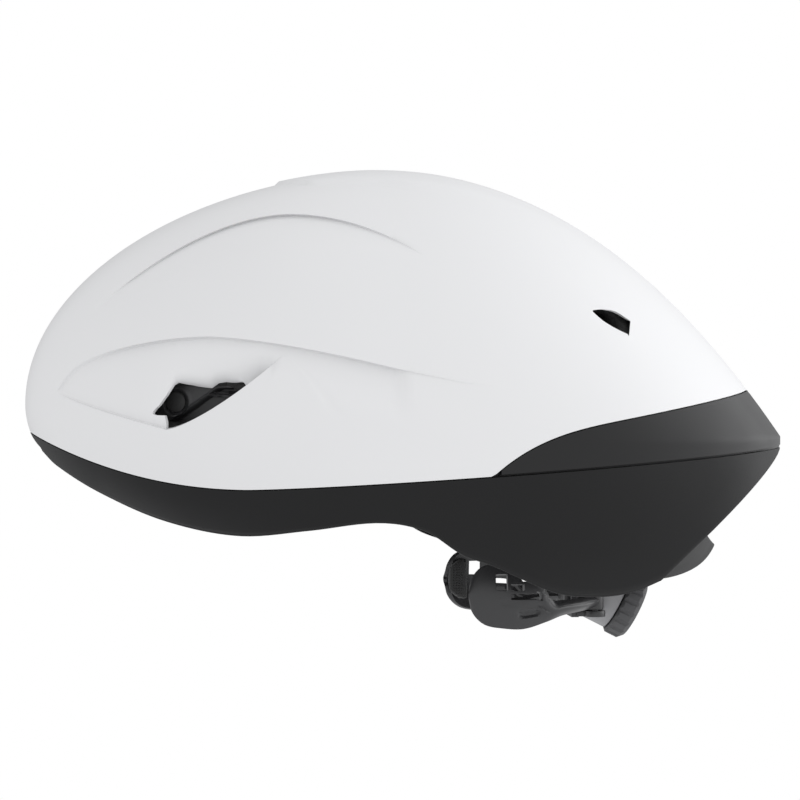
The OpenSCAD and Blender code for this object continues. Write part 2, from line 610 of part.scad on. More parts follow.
module dial_housing() {
    z0 = -dial_t / 2 - housing_gap - housing_l;
    color("#39393b") at_dial() difference() {
        translate([0, 0, z0]) cylinder(h = housing_l, d = housing_d, $fn = 64);
        translate([0, 0, z0 + 2]) cylinder(h = housing_l, d = spool_d + 2, $fn = 64);
        for (y = [-1, 1]) translate([0, y * screw_y, z0 - 1]) cylinder(h = 6, d = 2.05, $fn = 32);
    }
}
module housing_screws() {
    z0 = -dial_t / 2 - housing_gap - housing_l;
    color("#9a9da1") at_dial() for (y = [-1, 1]) translate([0, y * screw_y, z0]) {
        translate([0, 0, -1.6]) cylinder(h = 1.55, d = 3.6, $fn = 32);
        translate([0, 0, -0.1]) cylinder(h = 4.6, d = 2, $fn = 32);
    }
}
module dial_knob() {
    color("#18181a") at_dial() difference() {
        rotate_extrude($fn = 96) polygon([[2.05, -dial_t / 2], [dial_d / 2 - 1, -dial_t / 2],
            [dial_d / 2, -dial_t / 2 + 1], [dial_d / 2, dial_t / 2 - 2], [dial_d / 2 - 2, dial_t / 2],
            [6, dial_t / 2], [5, dial_t / 2 - 1], [2.05, dial_t / 2 - 1]]);
        for (k = [0 : dial_notches - 1]) rotate([0, 0, k * 360 / dial_notches])
            translate([dial_d / 2 + 0.6, 0, -dial_t]) cylinder(h = 2 * dial_t, d = 2.6, $fn = 20);
    }
}
module lace_spool() {
    z0 = -dial_t / 2 - housing_gap - housing_l + 2.4;
    z1 = -dial_t / 2 - 0.05;
    color("#505256") at_dial() rotate_extrude($fn = 64) polygon([[2.05, z0], [spool_d / 2, z0],
        [spool_d / 2, z0 + 1.2], [spool_d / 2 - 2.5, z0 + 2.4], [spool_d / 2 - 2.5, z1 - 2.6],
        [spool_d / 2, z1 - 1.4], [spool_d / 2, z1], [2.05, z1]]);
}
module dial_screw() {
    z0 = -dial_t / 2 - housing_gap - housing_l + 2.4;
    color("#9a9da1") at_dial() rotate_extrude($fn = 48) polygon([[0, z0], [2, z0], [2, dial_t / 2 - 0.95],
        [3.8, dial_t / 2 - 0.95], [3.6, dial_t / 2 + 0.4], [0, dial_t / 2 + 0.8]]);
}

// Wings: curved plates that hug the back of the head, with adjuster slots
wing_mid_x = 62;
wing_half_x = 48;
wing_half_y = 50;
wing_top = [[24, -143.4], [55, -143.6], [60, -143], [64, -138.4], [67, -132], [72, -128.9], [80, -128.2],
    [92, -128.5], [98, -131], [102, -140]];
wing_low = [[24, -148.2], [38, -148.8], [53, -149.8], [63, -152], [76, -154.6], [88, -154], [97, -151.5],
    [102, -146]];
wing_as = [20.5, 26, 32, 40, 48, 55, 60, 64, 67, 70, 73.7, 76, 78.5, 82.5, 84, 89.5, 93, 97, 100, 102];
wing_fs = [0, 0.165, 0.275, 0.32, 0.415, 0.46, 0.55, 0.8, 1];
wing_slots = [[10, 1], [11, 1], [11, 3], [12, 3], [8, 5], [9, 5], [10, 5], [11, 5], [12, 5], [8, 4], [14, 1],
    [14, 2], [14, 3]];
function wing_point(a, f, in) = let (
        n = level([cos(a) / wing_half_x, sin(a) / wing_half_y, 0]), bow = 2.2 * sin(180 * f))
    [wing_mid_x + wing_half_x * cos(a), wing_half_y * sin(a), mix(curve(wing_top, a), curve(wing_low, a), f)]
        + (bow - in) * n;
module wing(side) {
    if (side < 0) mirror([0, 1, 0]) wing(1);
    else color("#222224") difference() {
        union() {
            wall([for (a = wing_as) [for (f = wing_fs) wing_point(a, f, wing_t)]],
                [for (a = wing_as) [for (f = wing_fs) wing_point(a, f, 0)]],
                function (i, j) len([for (s = wing_slots) if (s == [i, j]) 1]) > 0);
            translate([wing_pin_x, wing_pin_y, knuckle_z0]) cylinder(h = knuckle_z1 - knuckle_z0, d = 7, $fn = 32);
        }
        translate([wing_pin_x, wing_pin_y, -160]) cylinder(h = 30, d = pin_d + 2 * pin_gap, $fn = 32);
    }
}
wing_pad_a = [90.5, 100.5];
wing_pad_f = [0.14, 0.84];
module wing_pad(side) {
    if (side < 0) mirror([0, 1, 0]) wing_pad(1);
    else {
        at = function (u, v, in) wing_point(mix(wing_pad_a[0], wing_pad_a[1], drawn(u, v)),
            mix(wing_pad_f[0], wing_pad_f[1], drawn(v, u)), in);
        color("#2b2b2e") wall([for (u = pad_us) [for (v = pad_vs) at(u, v, wing_t + fit_gap + puff(u, v, 4))]],
            [for (u = pad_us) [for (v = pad_vs) at(u, v, wing_t + fit_gap)]]);
    }
}

outer_shell();
tail_shell();
lower_shell();
eps_front();
eps_rear();
exhaust_tray();
vent_insert(-1);  // vent_insert_left
vent_insert(1);  // vent_insert_right
shield_magnet(-1);  // shield_magnet_left
shield_magnet(1);  // shield_magnet_right
anchor(front_angle, -1, anchor_z);  // front_anchor_left
anchor(front_angle, 1, anchor_z);  // front_anchor_right
anchor(rear_angle, -1, anchor_z);  // rear_anchor_left
anchor(rear_angle, 1, anchor_z);  // rear_anchor_right
brow_pad();
crown_pad();
side_pad(-1);  // side_pad_left
side_pad(1);  // side_pad_right
hanger_bracket();
hanger_pin();
ladder_guide();
ladder_strap();
cradle_yoke();
dial_housing();
housing_screws();
wing_pins();
wing(-1);  // wing_left
wing(1);  // wing_right
wing_pad(-1);  // wing_pad_left
wing_pad(1);  // wing_pad_right
dial_knob();
lace_spool();
dial_screw();
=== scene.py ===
import json
import math
import bpy
import bmesh
from mathutils import Vector, Matrix

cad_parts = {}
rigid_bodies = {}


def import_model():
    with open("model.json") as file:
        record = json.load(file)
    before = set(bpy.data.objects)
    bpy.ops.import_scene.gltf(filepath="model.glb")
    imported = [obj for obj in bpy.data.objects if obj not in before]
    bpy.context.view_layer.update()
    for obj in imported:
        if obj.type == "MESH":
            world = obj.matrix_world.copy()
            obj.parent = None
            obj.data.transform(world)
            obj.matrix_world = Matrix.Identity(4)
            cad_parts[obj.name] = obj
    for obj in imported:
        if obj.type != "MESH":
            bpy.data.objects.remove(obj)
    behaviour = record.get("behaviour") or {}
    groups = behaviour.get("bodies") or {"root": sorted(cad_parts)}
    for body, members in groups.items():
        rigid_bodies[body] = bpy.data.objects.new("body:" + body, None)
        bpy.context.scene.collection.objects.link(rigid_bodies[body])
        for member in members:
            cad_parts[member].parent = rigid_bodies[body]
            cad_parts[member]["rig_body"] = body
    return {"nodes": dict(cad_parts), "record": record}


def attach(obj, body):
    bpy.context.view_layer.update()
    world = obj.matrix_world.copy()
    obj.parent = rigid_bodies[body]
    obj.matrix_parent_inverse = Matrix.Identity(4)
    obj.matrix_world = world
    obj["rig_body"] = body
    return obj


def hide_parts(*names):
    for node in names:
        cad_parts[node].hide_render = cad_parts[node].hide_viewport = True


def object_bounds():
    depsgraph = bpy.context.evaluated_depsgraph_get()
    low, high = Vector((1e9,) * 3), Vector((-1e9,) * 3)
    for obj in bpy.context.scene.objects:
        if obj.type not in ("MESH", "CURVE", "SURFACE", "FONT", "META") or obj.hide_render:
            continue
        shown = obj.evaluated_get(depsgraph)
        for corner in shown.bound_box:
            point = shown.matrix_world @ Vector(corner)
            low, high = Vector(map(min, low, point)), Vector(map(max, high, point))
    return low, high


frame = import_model()
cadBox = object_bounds()
nodes = frame["nodes"]
print("frame loaded:", len(nodes), "nodes")

# sizes in mm, as in the part's source
mm = 0.001
shellForm = {
    "crownX": 18, "crownH": 28.7, "noseReach": 142.2, "noseDrop": 94.3,
    "tailReach": 167.3, "tailDrop": 107.6, "halfWidth": 103, "bellyDrop": 116.7,
    "tuck": 6, "tuckDrop": 27, "chinBack": 2, "chinDepth": 11.1,
    "nosePow": 1.8, "tailPow": 2.25, "sidePow": 2.15, "frontEgg": 2.3, "rearEgg": 2.4,
    "paintWall": 1.8, "darkWall": 2.4, "seamGap": 0.5, "panelRise": 1.3,
    "upperDepth": 1.7, "lowerDepth": 2.4, "lipDepth": 11, "notchDepth": 2, "edgeDrop": 1.2,
    "upperCrease": 0.5, "lowerCrease": 0.5, "lipRound": 0.45, "undercut": 0.13, "sinkReach": 22,
    "curl": 2.2, "curlReach": 4.5,
}
crownX, crownH = shellForm["crownX"], shellForm["crownH"]
noseX, noseZ = crownX - shellForm["noseReach"], crownH - shellForm["noseDrop"]
tailX = crownX + shellForm["tailReach"]
bellyZ = crownH - shellForm["bellyDrop"]
halfWidth = shellForm["halfWidth"]


# small maths
def spow(a, p):
    return a ** p if a >= 0 else -((-a) ** p)


def mix(a, b, f):
    return a + (b - a) * f


def clamp(v, lo, hi):
    return max(lo, min(hi, v))


def ease(f):
    c = clamp(f, 0.0, 1.0)
    return c * c * (3 - 2 * c)


def curve(knots, x):
    # smooth line through the knots
    n = len(knots)
    i = 0
    while i < n - 2 and x >= knots[i + 1][0]:
        i += 1

    def at(k):
        return knots[clamp(k, 0, n - 1)]

    def slope(k):
        return (at(k + 1)[1] - at(k - 1)[1]) / max(0.001, at(k + 1)[0] - at(k - 1)[0])
    a, b = knots[i], knots[i + 1]
    w = b[0] - a[0]
    f = clamp((x - a[0]) / w, 0, 1)
    f2, f3 = f * f, f * f * f
    return ((2 * f3 - 3 * f2 + 1) * a[1] + (f3 - 2 * f2 + f) * w * slope(i)
            + (3 * f2 - 2 * f3) * b[1] + (f3 - f2) * w * slope(i + 1))


def ramp(knots, x):
    # straight line from knot to knot
    if x <= knots[0][0]:
        return knots[0][1]
    for a, b in zip(knots, knots[1:]):
        if x <= b[0]:
            return mix(a[1], b[1], (x - a[0]) / (b[0] - a[0]))
    return knots[-1][1]


# shell outline
def frontAt(z):
    if z >= noseZ:
        q = 1 - ((z - noseZ) / shellForm["noseDrop"]) ** 2
        return crownX - shellForm["noseReach"] * spow(q, 1 / shellForm["nosePow"])
    return noseX + shellForm["chinBack"] * ((noseZ - z) / shellForm["chinDepth"]) ** 2


def rearAt(z):
    reach = shellForm["tailReach"]
    return crownX + min(reach, reach * spow((crownH - z) / shellForm["tailDrop"], 1 / shellForm["tailPow"]))


def widthAt(z):
    p = shellForm["sidePow"]
    if z >= bellyZ:
        return halfWidth * spow(1 - spow((z - bellyZ) / shellForm["bellyDrop"], p), 1 / p)
    return halfWidth - shellForm["tuck"] * ((bellyZ - z) / shellForm["tuckDrop"]) ** 2


def halfSq(x, z):
    w = widthAt(z) ** 2
    if x < crownX:
        return w * (1 - ((crownX - x) / max(0.05, crownX - frontAt(z))) ** shellForm["frontEgg"])
    return w * (1 - ((x - crownX) / max(0.05, rearAt(z) - crownX)) ** shellForm["rearEgg"])


def halfAt(x, z):
    return math.sqrt(max(0, halfSq(x, z)))


def topAt(x):
    if x < crownX:
        q = 1 - ((crownX - x) / shellForm["noseReach"]) ** shellForm["nosePow"]
        return noseZ + shellForm["noseDrop"] * math.sqrt(max(0, q))
    back = min(1, (x - crownX) / shellForm["tailReach"])
    return crownH - shellForm["tailDrop"] * back ** shellForm["tailPow"]


def chinAt(x):
    return noseZ - shellForm["chinDepth"] * math.sqrt(max(0, (x - noseX) / shellForm["chinBack"]))


# joint between the paint and the black wrap, and the edge of the tail cover
seamForm = {"x": -38, "z": -96.9, "frontRise": 20.4, "frontReach": 84.2, "rearRise": 14.4, "rearReach": 223,
            "tailSlope": 0.176, "bendX": 112, "bendDrop": 11.4}
tailEdgeX, whiteEndX = 57, 171


def seamAt(x):
    if x < seamForm["x"]:
        rise = seamForm["frontRise"] * ((seamForm["x"] - x) / seamForm["frontReach"]) ** 2.1
    else:
        rise = seamForm["rearRise"] * ((x - seamForm["x"]) / seamForm["rearReach"]) ** 1.2
    return max(seamForm["z"] + rise, chinAt(x))


def tailEdge(x):
    bend = max(0, seamForm["bendX"] - x) / (seamForm["bendX"] - tailEdgeX)
    return topAt(whiteEndX) - seamForm["tailSlope"] * (whiteEndX - x) - seamForm["bendDrop"] * bend ** 3.3


def whiteLow(x):
    return seamAt(x) if x < tailEdgeX else max(seamAt(x), tailEdge(x))


rimKnots = [(-118, -84.2), (-112, -90), (-95, -100), (-70, -110.3), (-42, -115.3), (-15, -112.8),
            (12, -109.7), (30, -113), (45, -122.5), (57, -127), (84, -138.6), (102, -140.4),
            (115, -138.8), (127, -134.2)]
finX, finReach, finTopZ = 127, 57.5, -83.6


def rimAt(x):
    if x < finX:
        return curve(rimKnots, x)
    return mix(rimKnots[-1][1], finTopZ, spow((x - finX) / finReach, 0.94))


def outDir(x, y, z):
    h, z = 0.2, min(z, crownH - 0.4)
    v = Vector((halfSq(x - h, z) - halfSq(x + h, z), 4 * h * y, halfSq(x, z - h) - halfSq(x, z + h)))
    return v / max(1e-6, v.length)


def skinPoint(x, z, side, depth):
    y = side * halfAt(x, z)
    n = outDir(x, y, z)
    return Vector((x, y, z)) - depth * n


def recessPoint(x, z, side, press, depth=0.0):
    # pressed straight in from the side, so that a sharp edge hides its own step;
    # by the nose it is pressed in along the skin's normal
    y = halfAt(x, z)
    n = outDir(x, y, z)
    level = ease((x + 100) / 20)
    inward, along = max(press, 0) * level / clamp(n.y, 0.6, 1), max(press, 0) * (1 - level) + min(press, 0)
    out = Vector((x + shellForm["undercut"] * inward, y - inward, z)) - (along + depth) * n
    return Vector((out.x, side * max(0, out.y), out.z))


# intake lines, as heights along the side: each bends down from its highest point to both ends
upperForm = {"tipX": -96, "endX": 30, "topX": -20, "topZ": 10.2, "frontFall": 37.2, "rearFall": 15.7,
             "softX": -18, "softZ": -4.7, "softFall": 18.6, "softReach": 65, "softRearFall": 2}
lowerTipX, notchX, lipX, lipEndX = -110.7, -69.2, -69, -24.8
intakeForm = {"topX": -52, "topZ": -38.1, "rearX": 19, "rearZ": -50.4, "rearFall": 10.6,
              "endX": 45, "endZ": -55.6, "tipZ": -59.6, "lipDrop": 14, "lipZ": -73.6, "lipRise": 28.3}


def upperEdge(x):
    topX, topZ, endX = upperForm["topX"], upperForm["topZ"], upperForm["endX"]
    if x < topX:
        return topZ - upperForm["frontFall"] * ((topX - x) / (topX - upperForm["tipX"])) ** 1.8
    if x < endX:
        return topZ - upperForm["rearFall"] * ((x - topX) / (endX - topX)) ** 2
    return topZ - upperForm["rearFall"] - 0.2 * (x - endX)


def upperSoft(x):
    topX, topZ, endX = upperForm["softX"], upperForm["softZ"], upperForm["endX"]
    if x < topX:
        return topZ - upperForm["softFall"] * ((topX - x) / upperForm["softReach"]) ** 1.8
    if x < endX:
        return topZ - upperForm["softRearFall"] * ((x - topX) / (endX - topX)) ** 2
    return topZ - upperForm["softRearFall"] - 0.22 * (x - endX)


def lowerEdge(x):
    topX, topZ = intakeForm["topX"], intakeForm["topZ"]
    if x < topX:
        return topZ - 3 * ((topX - x) / 28) ** 2 - 7.6 * ((topX - x) / (topX - lowerTipX)) ** 12
    if x < intakeForm["rearX"]:
        return topZ - intakeForm["rearFall"] * ((x - topX) / 64) ** 1.45
    if x < intakeForm["endX"]:
        return intakeForm["rearZ"] - 0.2 * (x - intakeForm["rearX"])
    return intakeForm["endZ"] - 0.08 * (x - intakeForm["endX"])


def lowerLine(x):
    if x < lipX:
        share = max(0, x - lowerTipX) / (lipX - lowerTipX)
        return intakeForm["tipZ"] - intakeForm["lipDrop"] * share ** 0.75
    return intakeForm["lipZ"] + intakeForm["lipRise"] * ((x - lipX) / (lipEndX - lipX)) ** 1.33


holeX = (-74.4, -39.6)
holeTop = [(-110, 0.6), (-84, 0.78), (-74.4, 0.85), (-73.6, 0.8), (-72, 0.745), (-69.7, 0.632), (-66.8, 0.5),
           (-65.4, 0.482), (-59.9, 0.563), (-52.9, 0.685), (-51.3, 0.668), (-50.2, 0.654), (-47.4, 0.685),
           (-41.6, 0.83), (-40.6, 0.865), (-40, 0.92), (-39.6, 0.985), (-30, 0.75), (-24.8, 0.5)]
holeLow = [(-110, 0.8), (-74.4, 0.865), (-73.4, 0.873), (-69.8, 0.853), (-69.3, 0.87), (-69.1, 0.99),
           (-39.6, 0.99), (-24.8, 0.7)]
slotX = (98, 114)
slotTop = [(98, -27.8), (102, -27.4), (108, -28.3), (114, -32)]
slotLow = [(98, -28.4), (102, -31.9), (108, -35.3), (114, -37.9)]


def creaseRows(x):
    xu, xl = clamp(x, upperForm["tipX"], slotX[1]), clamp(x, lowerTipX, slotX[1])
    drop = shellForm["edgeDrop"]
    e, s = upperEdge(xu), upperSoft(xu)
    upper = [e, e - drop, mix(e - drop, s, 0.45), s]
    a, b, f = upperSoft(xl), lowerEdge(xl), ease((xl - 60) / 36)
    st = mix(mix(a, b, 0.3), curve(slotTop, xl), f)
    sl = mix(mix(a, b, 0.6), curve(slotLow, xl), f)
    slots = [st, sl, mix(sl, b, 0.5)]
    d, low = b - drop, whiteLow(xl)
    away = ease((xl - lipEndX) / 36)
    line = mix(lowerLine(min(xl, lipEndX)), b - 5, ease((xl - lipEndX) / 8))
    r = line if xl < lipEndX else mix(line, mix(d, low, 0.5), away)
    r2 = mix(r - shellForm["lipRound"], mix(d, low, 0.7), away)
    lower = [b, d, mix(d, r, ramp(holeTop, xl)), mix(d, r, ramp(holeLow, xl)), r, r2, mix(r2, low, 0.5)]

    def part(z, px):
        return (z - whiteLow(px)) / max(0.01, topAt(px) - whiteLow(px))
    return [part(z, xu) for z in upper] + [part(z, xl) for z in slots + lower]


# how far the intakes are pressed in: the upper one, the strip under the lower one's sharp edge, its floor
def upperPress(x):
    along = (x - upperForm["tipX"]) / (upperForm["endX"] - upperForm["tipX"])
    return shellForm["upperDepth"] * max(0, math.sin(math.pi * clamp(along, 0, 1))) ** 0.7


edgeShares = [(lowerTipX, 0), (-109.8, 0.4), (-95, 0.75), (-75, 0.95), (-50, 1), (-20, 1.05), (5, 1.15),
              (18, 1.1), (24, 0.3), (57, 0)]
floorShares = [(lowerTipX, 0), (-107, 0.07), (-96, 0.12), (-80, 0.16), (-74.4, 0.18), (-69.5, 0.36),
               (-62, 0.9), (-55, 1), (-42, 0.85), (-30, 0.6), (lipEndX, 0.3)]


def edgePress(x):
    return shellForm["lowerDepth"] * ramp(edgeShares, x)


def sinkPress(x, z):
    # the outer face below the sharp edge comes back to the skin further down
    down = (lowerEdge(clamp(x, lowerTipX, slotX[1])) - z) / shellForm["sinkReach"]
    return edgePress(x) * (1 - ease(down)) * ease((x + 60) / 20)


def floorPress(x, z, edge, top, gap, line):
    # the floor sinks from the sharp edge towards the line of the lip, and curls in above the opening;
    # below the notch it stays shallow
    deep = shellForm["lipDepth"] * curve(floorShares, x)
    if x < notchX + 0.05 and z < gap:
        deep = min(deep, shellForm["notchDepth"])
    share = clamp((edge - z) / max(0.1, edge - line), 0, 1) ** 1.8
    curl = shellForm["curl"] * clamp(1 - (z - top) / shellForm["curlReach"], 0, 1) ** 2
    curl *= ease((x + 68) / 4) * (1 - ease((x + 47) / 7))
    return mix(mix(edgePress(x), deep, share) + curl, sinkPress(x, z), ease((x - lipEndX + 9) / 9))


crownSplits = 30
rowSplits = [4, 5, 5, 5, 5, 5, 5, 5, 12, 6, 5, 4, 4, 6]    # cells from one line down to the next
rowMarks = [crownSplits]
for count in rowSplits:
    rowMarks.append(rowMarks[-1] + count)
holeRows = (rowMarks[9], rowMarks[10], rowMarks[11])
slotRows = (rowMarks[4], rowMarks[5])


# the raised panel on the crown; its half width is a share of the way down to the upper intake
panelForm = {"frontX": -22.8, "sweep": 16, "edge": 1.6, "fadeX": 20, "fade": 70, "half": 0.42, "side": 0.07}


def panelMask(x, f):
    start = panelForm["frontX"] + panelForm["sweep"] * clamp(f / 0.5, 0, 1) ** 2       # rounded front
    front = ease((x - start) / panelForm["edge"])
    rear = 1 - ease((x - panelForm["fadeX"]) / panelForm["fade"])
    return front * rear * (1 - ease((f - panelForm["half"]) / panelForm["side"]))


def shellColumn(x):
    # heights and press of every row at one station, crown to joint
    t, b = topAt(x), whiteLow(x)
    marks = [mix(b, t, c) for c in creaseRows(x)] + [b]
    marks[1] = mix(marks[0], marks[1], shellForm["upperCrease"])
    marks[8] = mix(marks[7], marks[8], shellForm["lowerCrease"])
    for i in range(1, len(marks)):
        marks[i] = min(marks[i], marks[i - 1] - 0.02)
    u, edge = upperPress(x), edgePress(x)
    atLip = floorPress(x, marks[11], marks[8], marks[9], marks[10], marks[11])
    rows = []
    for k in range(crownSplits):
        f = k / crownSplits
        rows.append((mix(t, marks[0], f * f), -shellForm["panelRise"] * panelMask(x, f)))
    for i, count in enumerate(rowSplits):
        for k in range(count):
            f = k / count
            z = mix(marks[i], marks[i + 1], f)
            if i == 0:
                press = u * ease(f)
            elif i in (1, 2):                            # the upper floor rises straight to its soft line
                press = u * clamp((z - marks[3]) / max(0.1, marks[1] - marks[3]), 0, 1)
            elif i < 7:
                press = 0
            elif i == 7:
                press = edge * ease(f)
            elif i < 11:
                press = floorPress(x, z, marks[8], marks[9], marks[10] + 0.01, marks[11])
            elif i == 11:
                press = mix(atLip, sinkPress(x, marks[12]), ease(f))
            else:
                press = sinkPress(x, z)
            rows.append((z, press))
    rows.append((b, 0))
    return rows


noseCells, cellLength = 16, 1.9


def stations():
    # a station at every bend of the lines, closer at the opening
    base = [lowerTipX, -109.8, -96, -90, -84, holeX[0], -73.4, -72, -69.8, notchX, lipX, -66.8, -65.4,
            -59.9, -52.9, -51.3, -50.2, -47.4, -41.6, -40.6, -40, holeX[1], -30, lipEndX, -22.8, -16.8,
            -6, 5, 18, 24, 30, 45, tailEdgeX, 70, 84] + [x for x, z in slotTop] + [130, 150, 165, whiteEndX]
    xs = [noseX + (base[0] - noseX) * (k / noseCells) ** 2 for k in range(noseCells)]
    for a, b in zip(base, base[1:]):
        n = max(1, round((b - a) / cellLength))
        xs += [mix(a, b, k / n) for k in range(n)]
    return xs + [base[-1]]


# mesh helpers
def finishMesh(obj, sharpDeg=32):
    for poly in obj.data.polygons:
        poly.use_smooth = True
    obj.data.set_sharp_from_angle(angle=math.radians(sharpDeg))
    return obj


def addPiece(name, bm, flip=None):
    if flip is not None:                                 # faces point away from this point
        total = sum(f.normal.dot(f.calc_center_median() - flip) for f in bm.faces)
        if total < 0:
            bmesh.ops.reverse_faces(bm, faces=bm.faces[:])
    mesh = bpy.data.meshes.new(name)
    bm.to_mesh(mesh)
    bm.free()
    obj = bpy.data.objects.new(name, mesh)
    bpy.context.scene.collection.objects.link(obj)
    return obj


def settle(obj, sharpDeg=32):
    # applies the modifiers, so the mesh is final
    bpy.context.view_layer.update()
    graph = bpy.context.evaluated_depsgraph_get()
    mesh = bpy.data.meshes.new_from_object(obj.evaluated_get(graph))
    old = obj.data
    obj.modifiers.clear()
    obj.data = mesh
    mesh.name = obj.name
    bpy.data.meshes.remove(old)
    return finishMesh(obj, sharpDeg)


def gridSurface(nu, nv, place, skip=None, inner=None, away=None):
    # a grid whose points are moved to place(i, j), in mm; skip(i, j) leaves a cell open;
    # inner(i, j) adds the wall's other face, joined along every open edge
    bm = bmesh.new()
    bmesh.ops.create_grid(bm, x_segments=nu, y_segments=nv, size=1)
    index = {}
    for v in bm.verts:
        i, j = round((v.co.x + 1) / 2 * nu), round((v.co.y + 1) / 2 * nv)
        index[v] = (i, j)
    if skip:
        gone = []
        for f in bm.faces:
            i = min(index[v][0] for v in f.verts)
            j = min(index[v][1] for v in f.verts)
            if skip(i, j):
                gone.append(f)
        bmesh.ops.delete(bm, geom=gone, context="FACES")
    for v in bm.verts:
        v.co = Vector(place(*index[v])) * mm
    bm.normal_update()
    if away is not None:
        if sum(f.normal.dot(f.calc_center_median() - away) * f.calc_area() for f in bm.faces) < 0:
            bmesh.ops.reverse_faces(bm, faces=bm.faces[:])
    if inner:
        # halves that meet on the middle plane are welded there, so they get no wall between them
        rims = [e for e in bm.edges if e.is_boundary and max(abs(v.co.y) for v in e.verts) > 5e-6]
        ends = [(e.link_loops[0].vert, e.link_loops[0].link_loop_next.vert) for e in rims]
        made = bmesh.ops.duplicate(bm, geom=bm.verts[:] + bm.edges[:] + bm.faces[:])
        twin = {a: b for a, b in made["vert_map"].items()}
        backs = [g for g in made["geom"] if isinstance(g, bmesh.types.BMFace)]
        for v, other in list(twin.items()):
            if v in index:
                other.co = Vector(inner(*index[v])) * mm
        bmesh.ops.reverse_faces(bm, faces=backs)
        for a, b in ends:
            bm.faces.new((b, a, twin[a], twin[b]))
    bmesh.ops.remove_doubles(bm, verts=bm.verts[:], dist=2e-6)
    bmesh.ops.dissolve_degenerate(bm, edges=bm.edges[:], dist=1e-6)
    bm.normal_update()
    return bm


def thicken(obj, wall, bevel=0, segments=2, sharpDeg=32):
    solid = obj.modifiers.new("wall", "SOLIDIFY")
    solid.thickness = wall * mm
    solid.offset = -1
    solid.use_even_offset = False
    if bevel:
        edge = obj.modifiers.new("edge", "BEVEL")
        edge.width = bevel * mm
        edge.segments = segments
        edge.limit_method = "ANGLE"
        edge.angle_limit = math.radians(50)
    return settle(obj, sharpDeg)


def dressed(node, bevel=0.35, segments=2, sharpDeg=34, name=None):
    # a rigid node's own shape, welded, with eased edges
    obj = nodes[node].copy()
    obj.data = nodes[node].data.copy()
    obj.name = name or node + "_part"
    for key in list(obj.keys()):
        del obj[key]
    obj.parent = None
    obj.matrix_world = Matrix.Identity(4)
    bpy.context.scene.collection.objects.link(obj)
    bm = bmesh.new()
    bm.from_mesh(obj.data)
    bmesh.ops.remove_doubles(bm, verts=bm.verts[:], dist=2e-6)
    bmesh.ops.dissolve_limit(bm, angle_limit=math.radians(0.6), verts=bm.verts[:], edges=bm.edges[:])
    bm.to_mesh(obj.data)
    bm.free()
    if bevel:
        edge = obj.modifiers.new("edge", "BEVEL")
        edge.width = bevel * mm
        edge.segments = segments
        edge.limit_method = "ANGLE"
        edge.angle_limit = math.radians(38)
    settle(obj, sharpDeg)
    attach(obj, nodes[node]["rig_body"])
    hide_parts(node)
    return obj


# finishes
def nodeGroup(name, inputs, outputs):
    tree = bpy.data.node_groups.new(name, "ShaderNodeTree")
    for label, kind, value in inputs:
        socket = tree.interface.new_socket(label, in_out="INPUT", socket_type=kind)
        socket.default_value = value
    for label, kind in outputs:
        tree.interface.new_socket(label, in_out="OUTPUT", socket_type=kind)
    return tree, tree.nodes.new("NodeGroupInput"), tree.nodes.new("NodeGroupOutput")


def linkNodes(tree, pairs):
    for a, b in pairs:
        tree.links.new(a, b)


def mapped(tree, scaleSocket):
    # object coordinates times a scale
    coords = tree.nodes.new("ShaderNodeTexCoord")
    scaled = tree.nodes.new("ShaderNodeVectorMath")
    scaled.operation = "SCALE"
    linkNodes(tree, [(coords.outputs["Object"], scaled.inputs[0]), (scaleSocket, scaled.inputs["Scale"])])
    return scaled.outputs[0]


def makeMouldedGroup():
    # colour that drifts a little, fine grain in the surface and uneven gloss
    tree, gin, gout = nodeGroup("mouldedSurface", [
        ("Tone", "NodeSocketColor", (0.1, 0.1, 0.1, 1)), ("Drift", "NodeSocketColor", (0.12, 0.12, 0.12, 1)),
        ("Drift Scale", "NodeSocketFloat", 20.0), ("Grain Scale", "NodeSocketFloat", 1500.0),
        ("Grain Height", "NodeSocketFloat", 0.1), ("Gloss Low", "NodeSocketFloat", 0.35),
        ("Gloss High", "NodeSocketFloat", 0.45)],
        [("Color", "NodeSocketColor"), ("Roughness", "NodeSocketFloat"), ("Normal", "NodeSocketVector")])
    n = tree.nodes
    broad, fine, blend, gloss, bump = (n.new("ShaderNodeTexNoise"), n.new("ShaderNodeTexNoise"),
                                       n.new("ShaderNodeMix"), n.new("ShaderNodeMapRange"),
                                       n.new("ShaderNodeBump"))
    blend.data_type = "RGBA"
    broad.inputs["Detail"].default_value = 3
    fine.inputs["Detail"].default_value = 2
    broad.inputs["Scale"].default_value = 1
    fine.inputs["Scale"].default_value = 1
    gloss.inputs["From Min"].default_value = 0.35
    gloss.inputs["From Max"].default_value = 0.65
    bump.inputs["Distance"].default_value = 0.0002
    linkNodes(tree, [
        (mapped(tree, gin.outputs["Drift Scale"]), broad.inputs["Vector"]),
        (mapped(tree, gin.outputs["Grain Scale"]), fine.inputs["Vector"]),
        (broad.outputs["Fac"], blend.inputs["Factor"]),
        (gin.outputs["Tone"], blend.inputs[6]), (gin.outputs["Drift"], blend.inputs[7]),
        (blend.outputs[2], gout.inputs["Color"]),
        (broad.outputs["Fac"], gloss.inputs["Value"]),
        (gin.outputs["Gloss Low"], gloss.inputs["To Min"]),
        (gin.outputs["Gloss High"], gloss.inputs["To Max"]),
        (gloss.outputs["Result"], gout.inputs["Roughness"]),
        (fine.outputs["Fac"], bump.inputs["Height"]), (gin.outputs["Grain Height"], bump.inputs["Strength"]),
        (bump.outputs["Normal"], gout.inputs["Normal"])])
    return tree


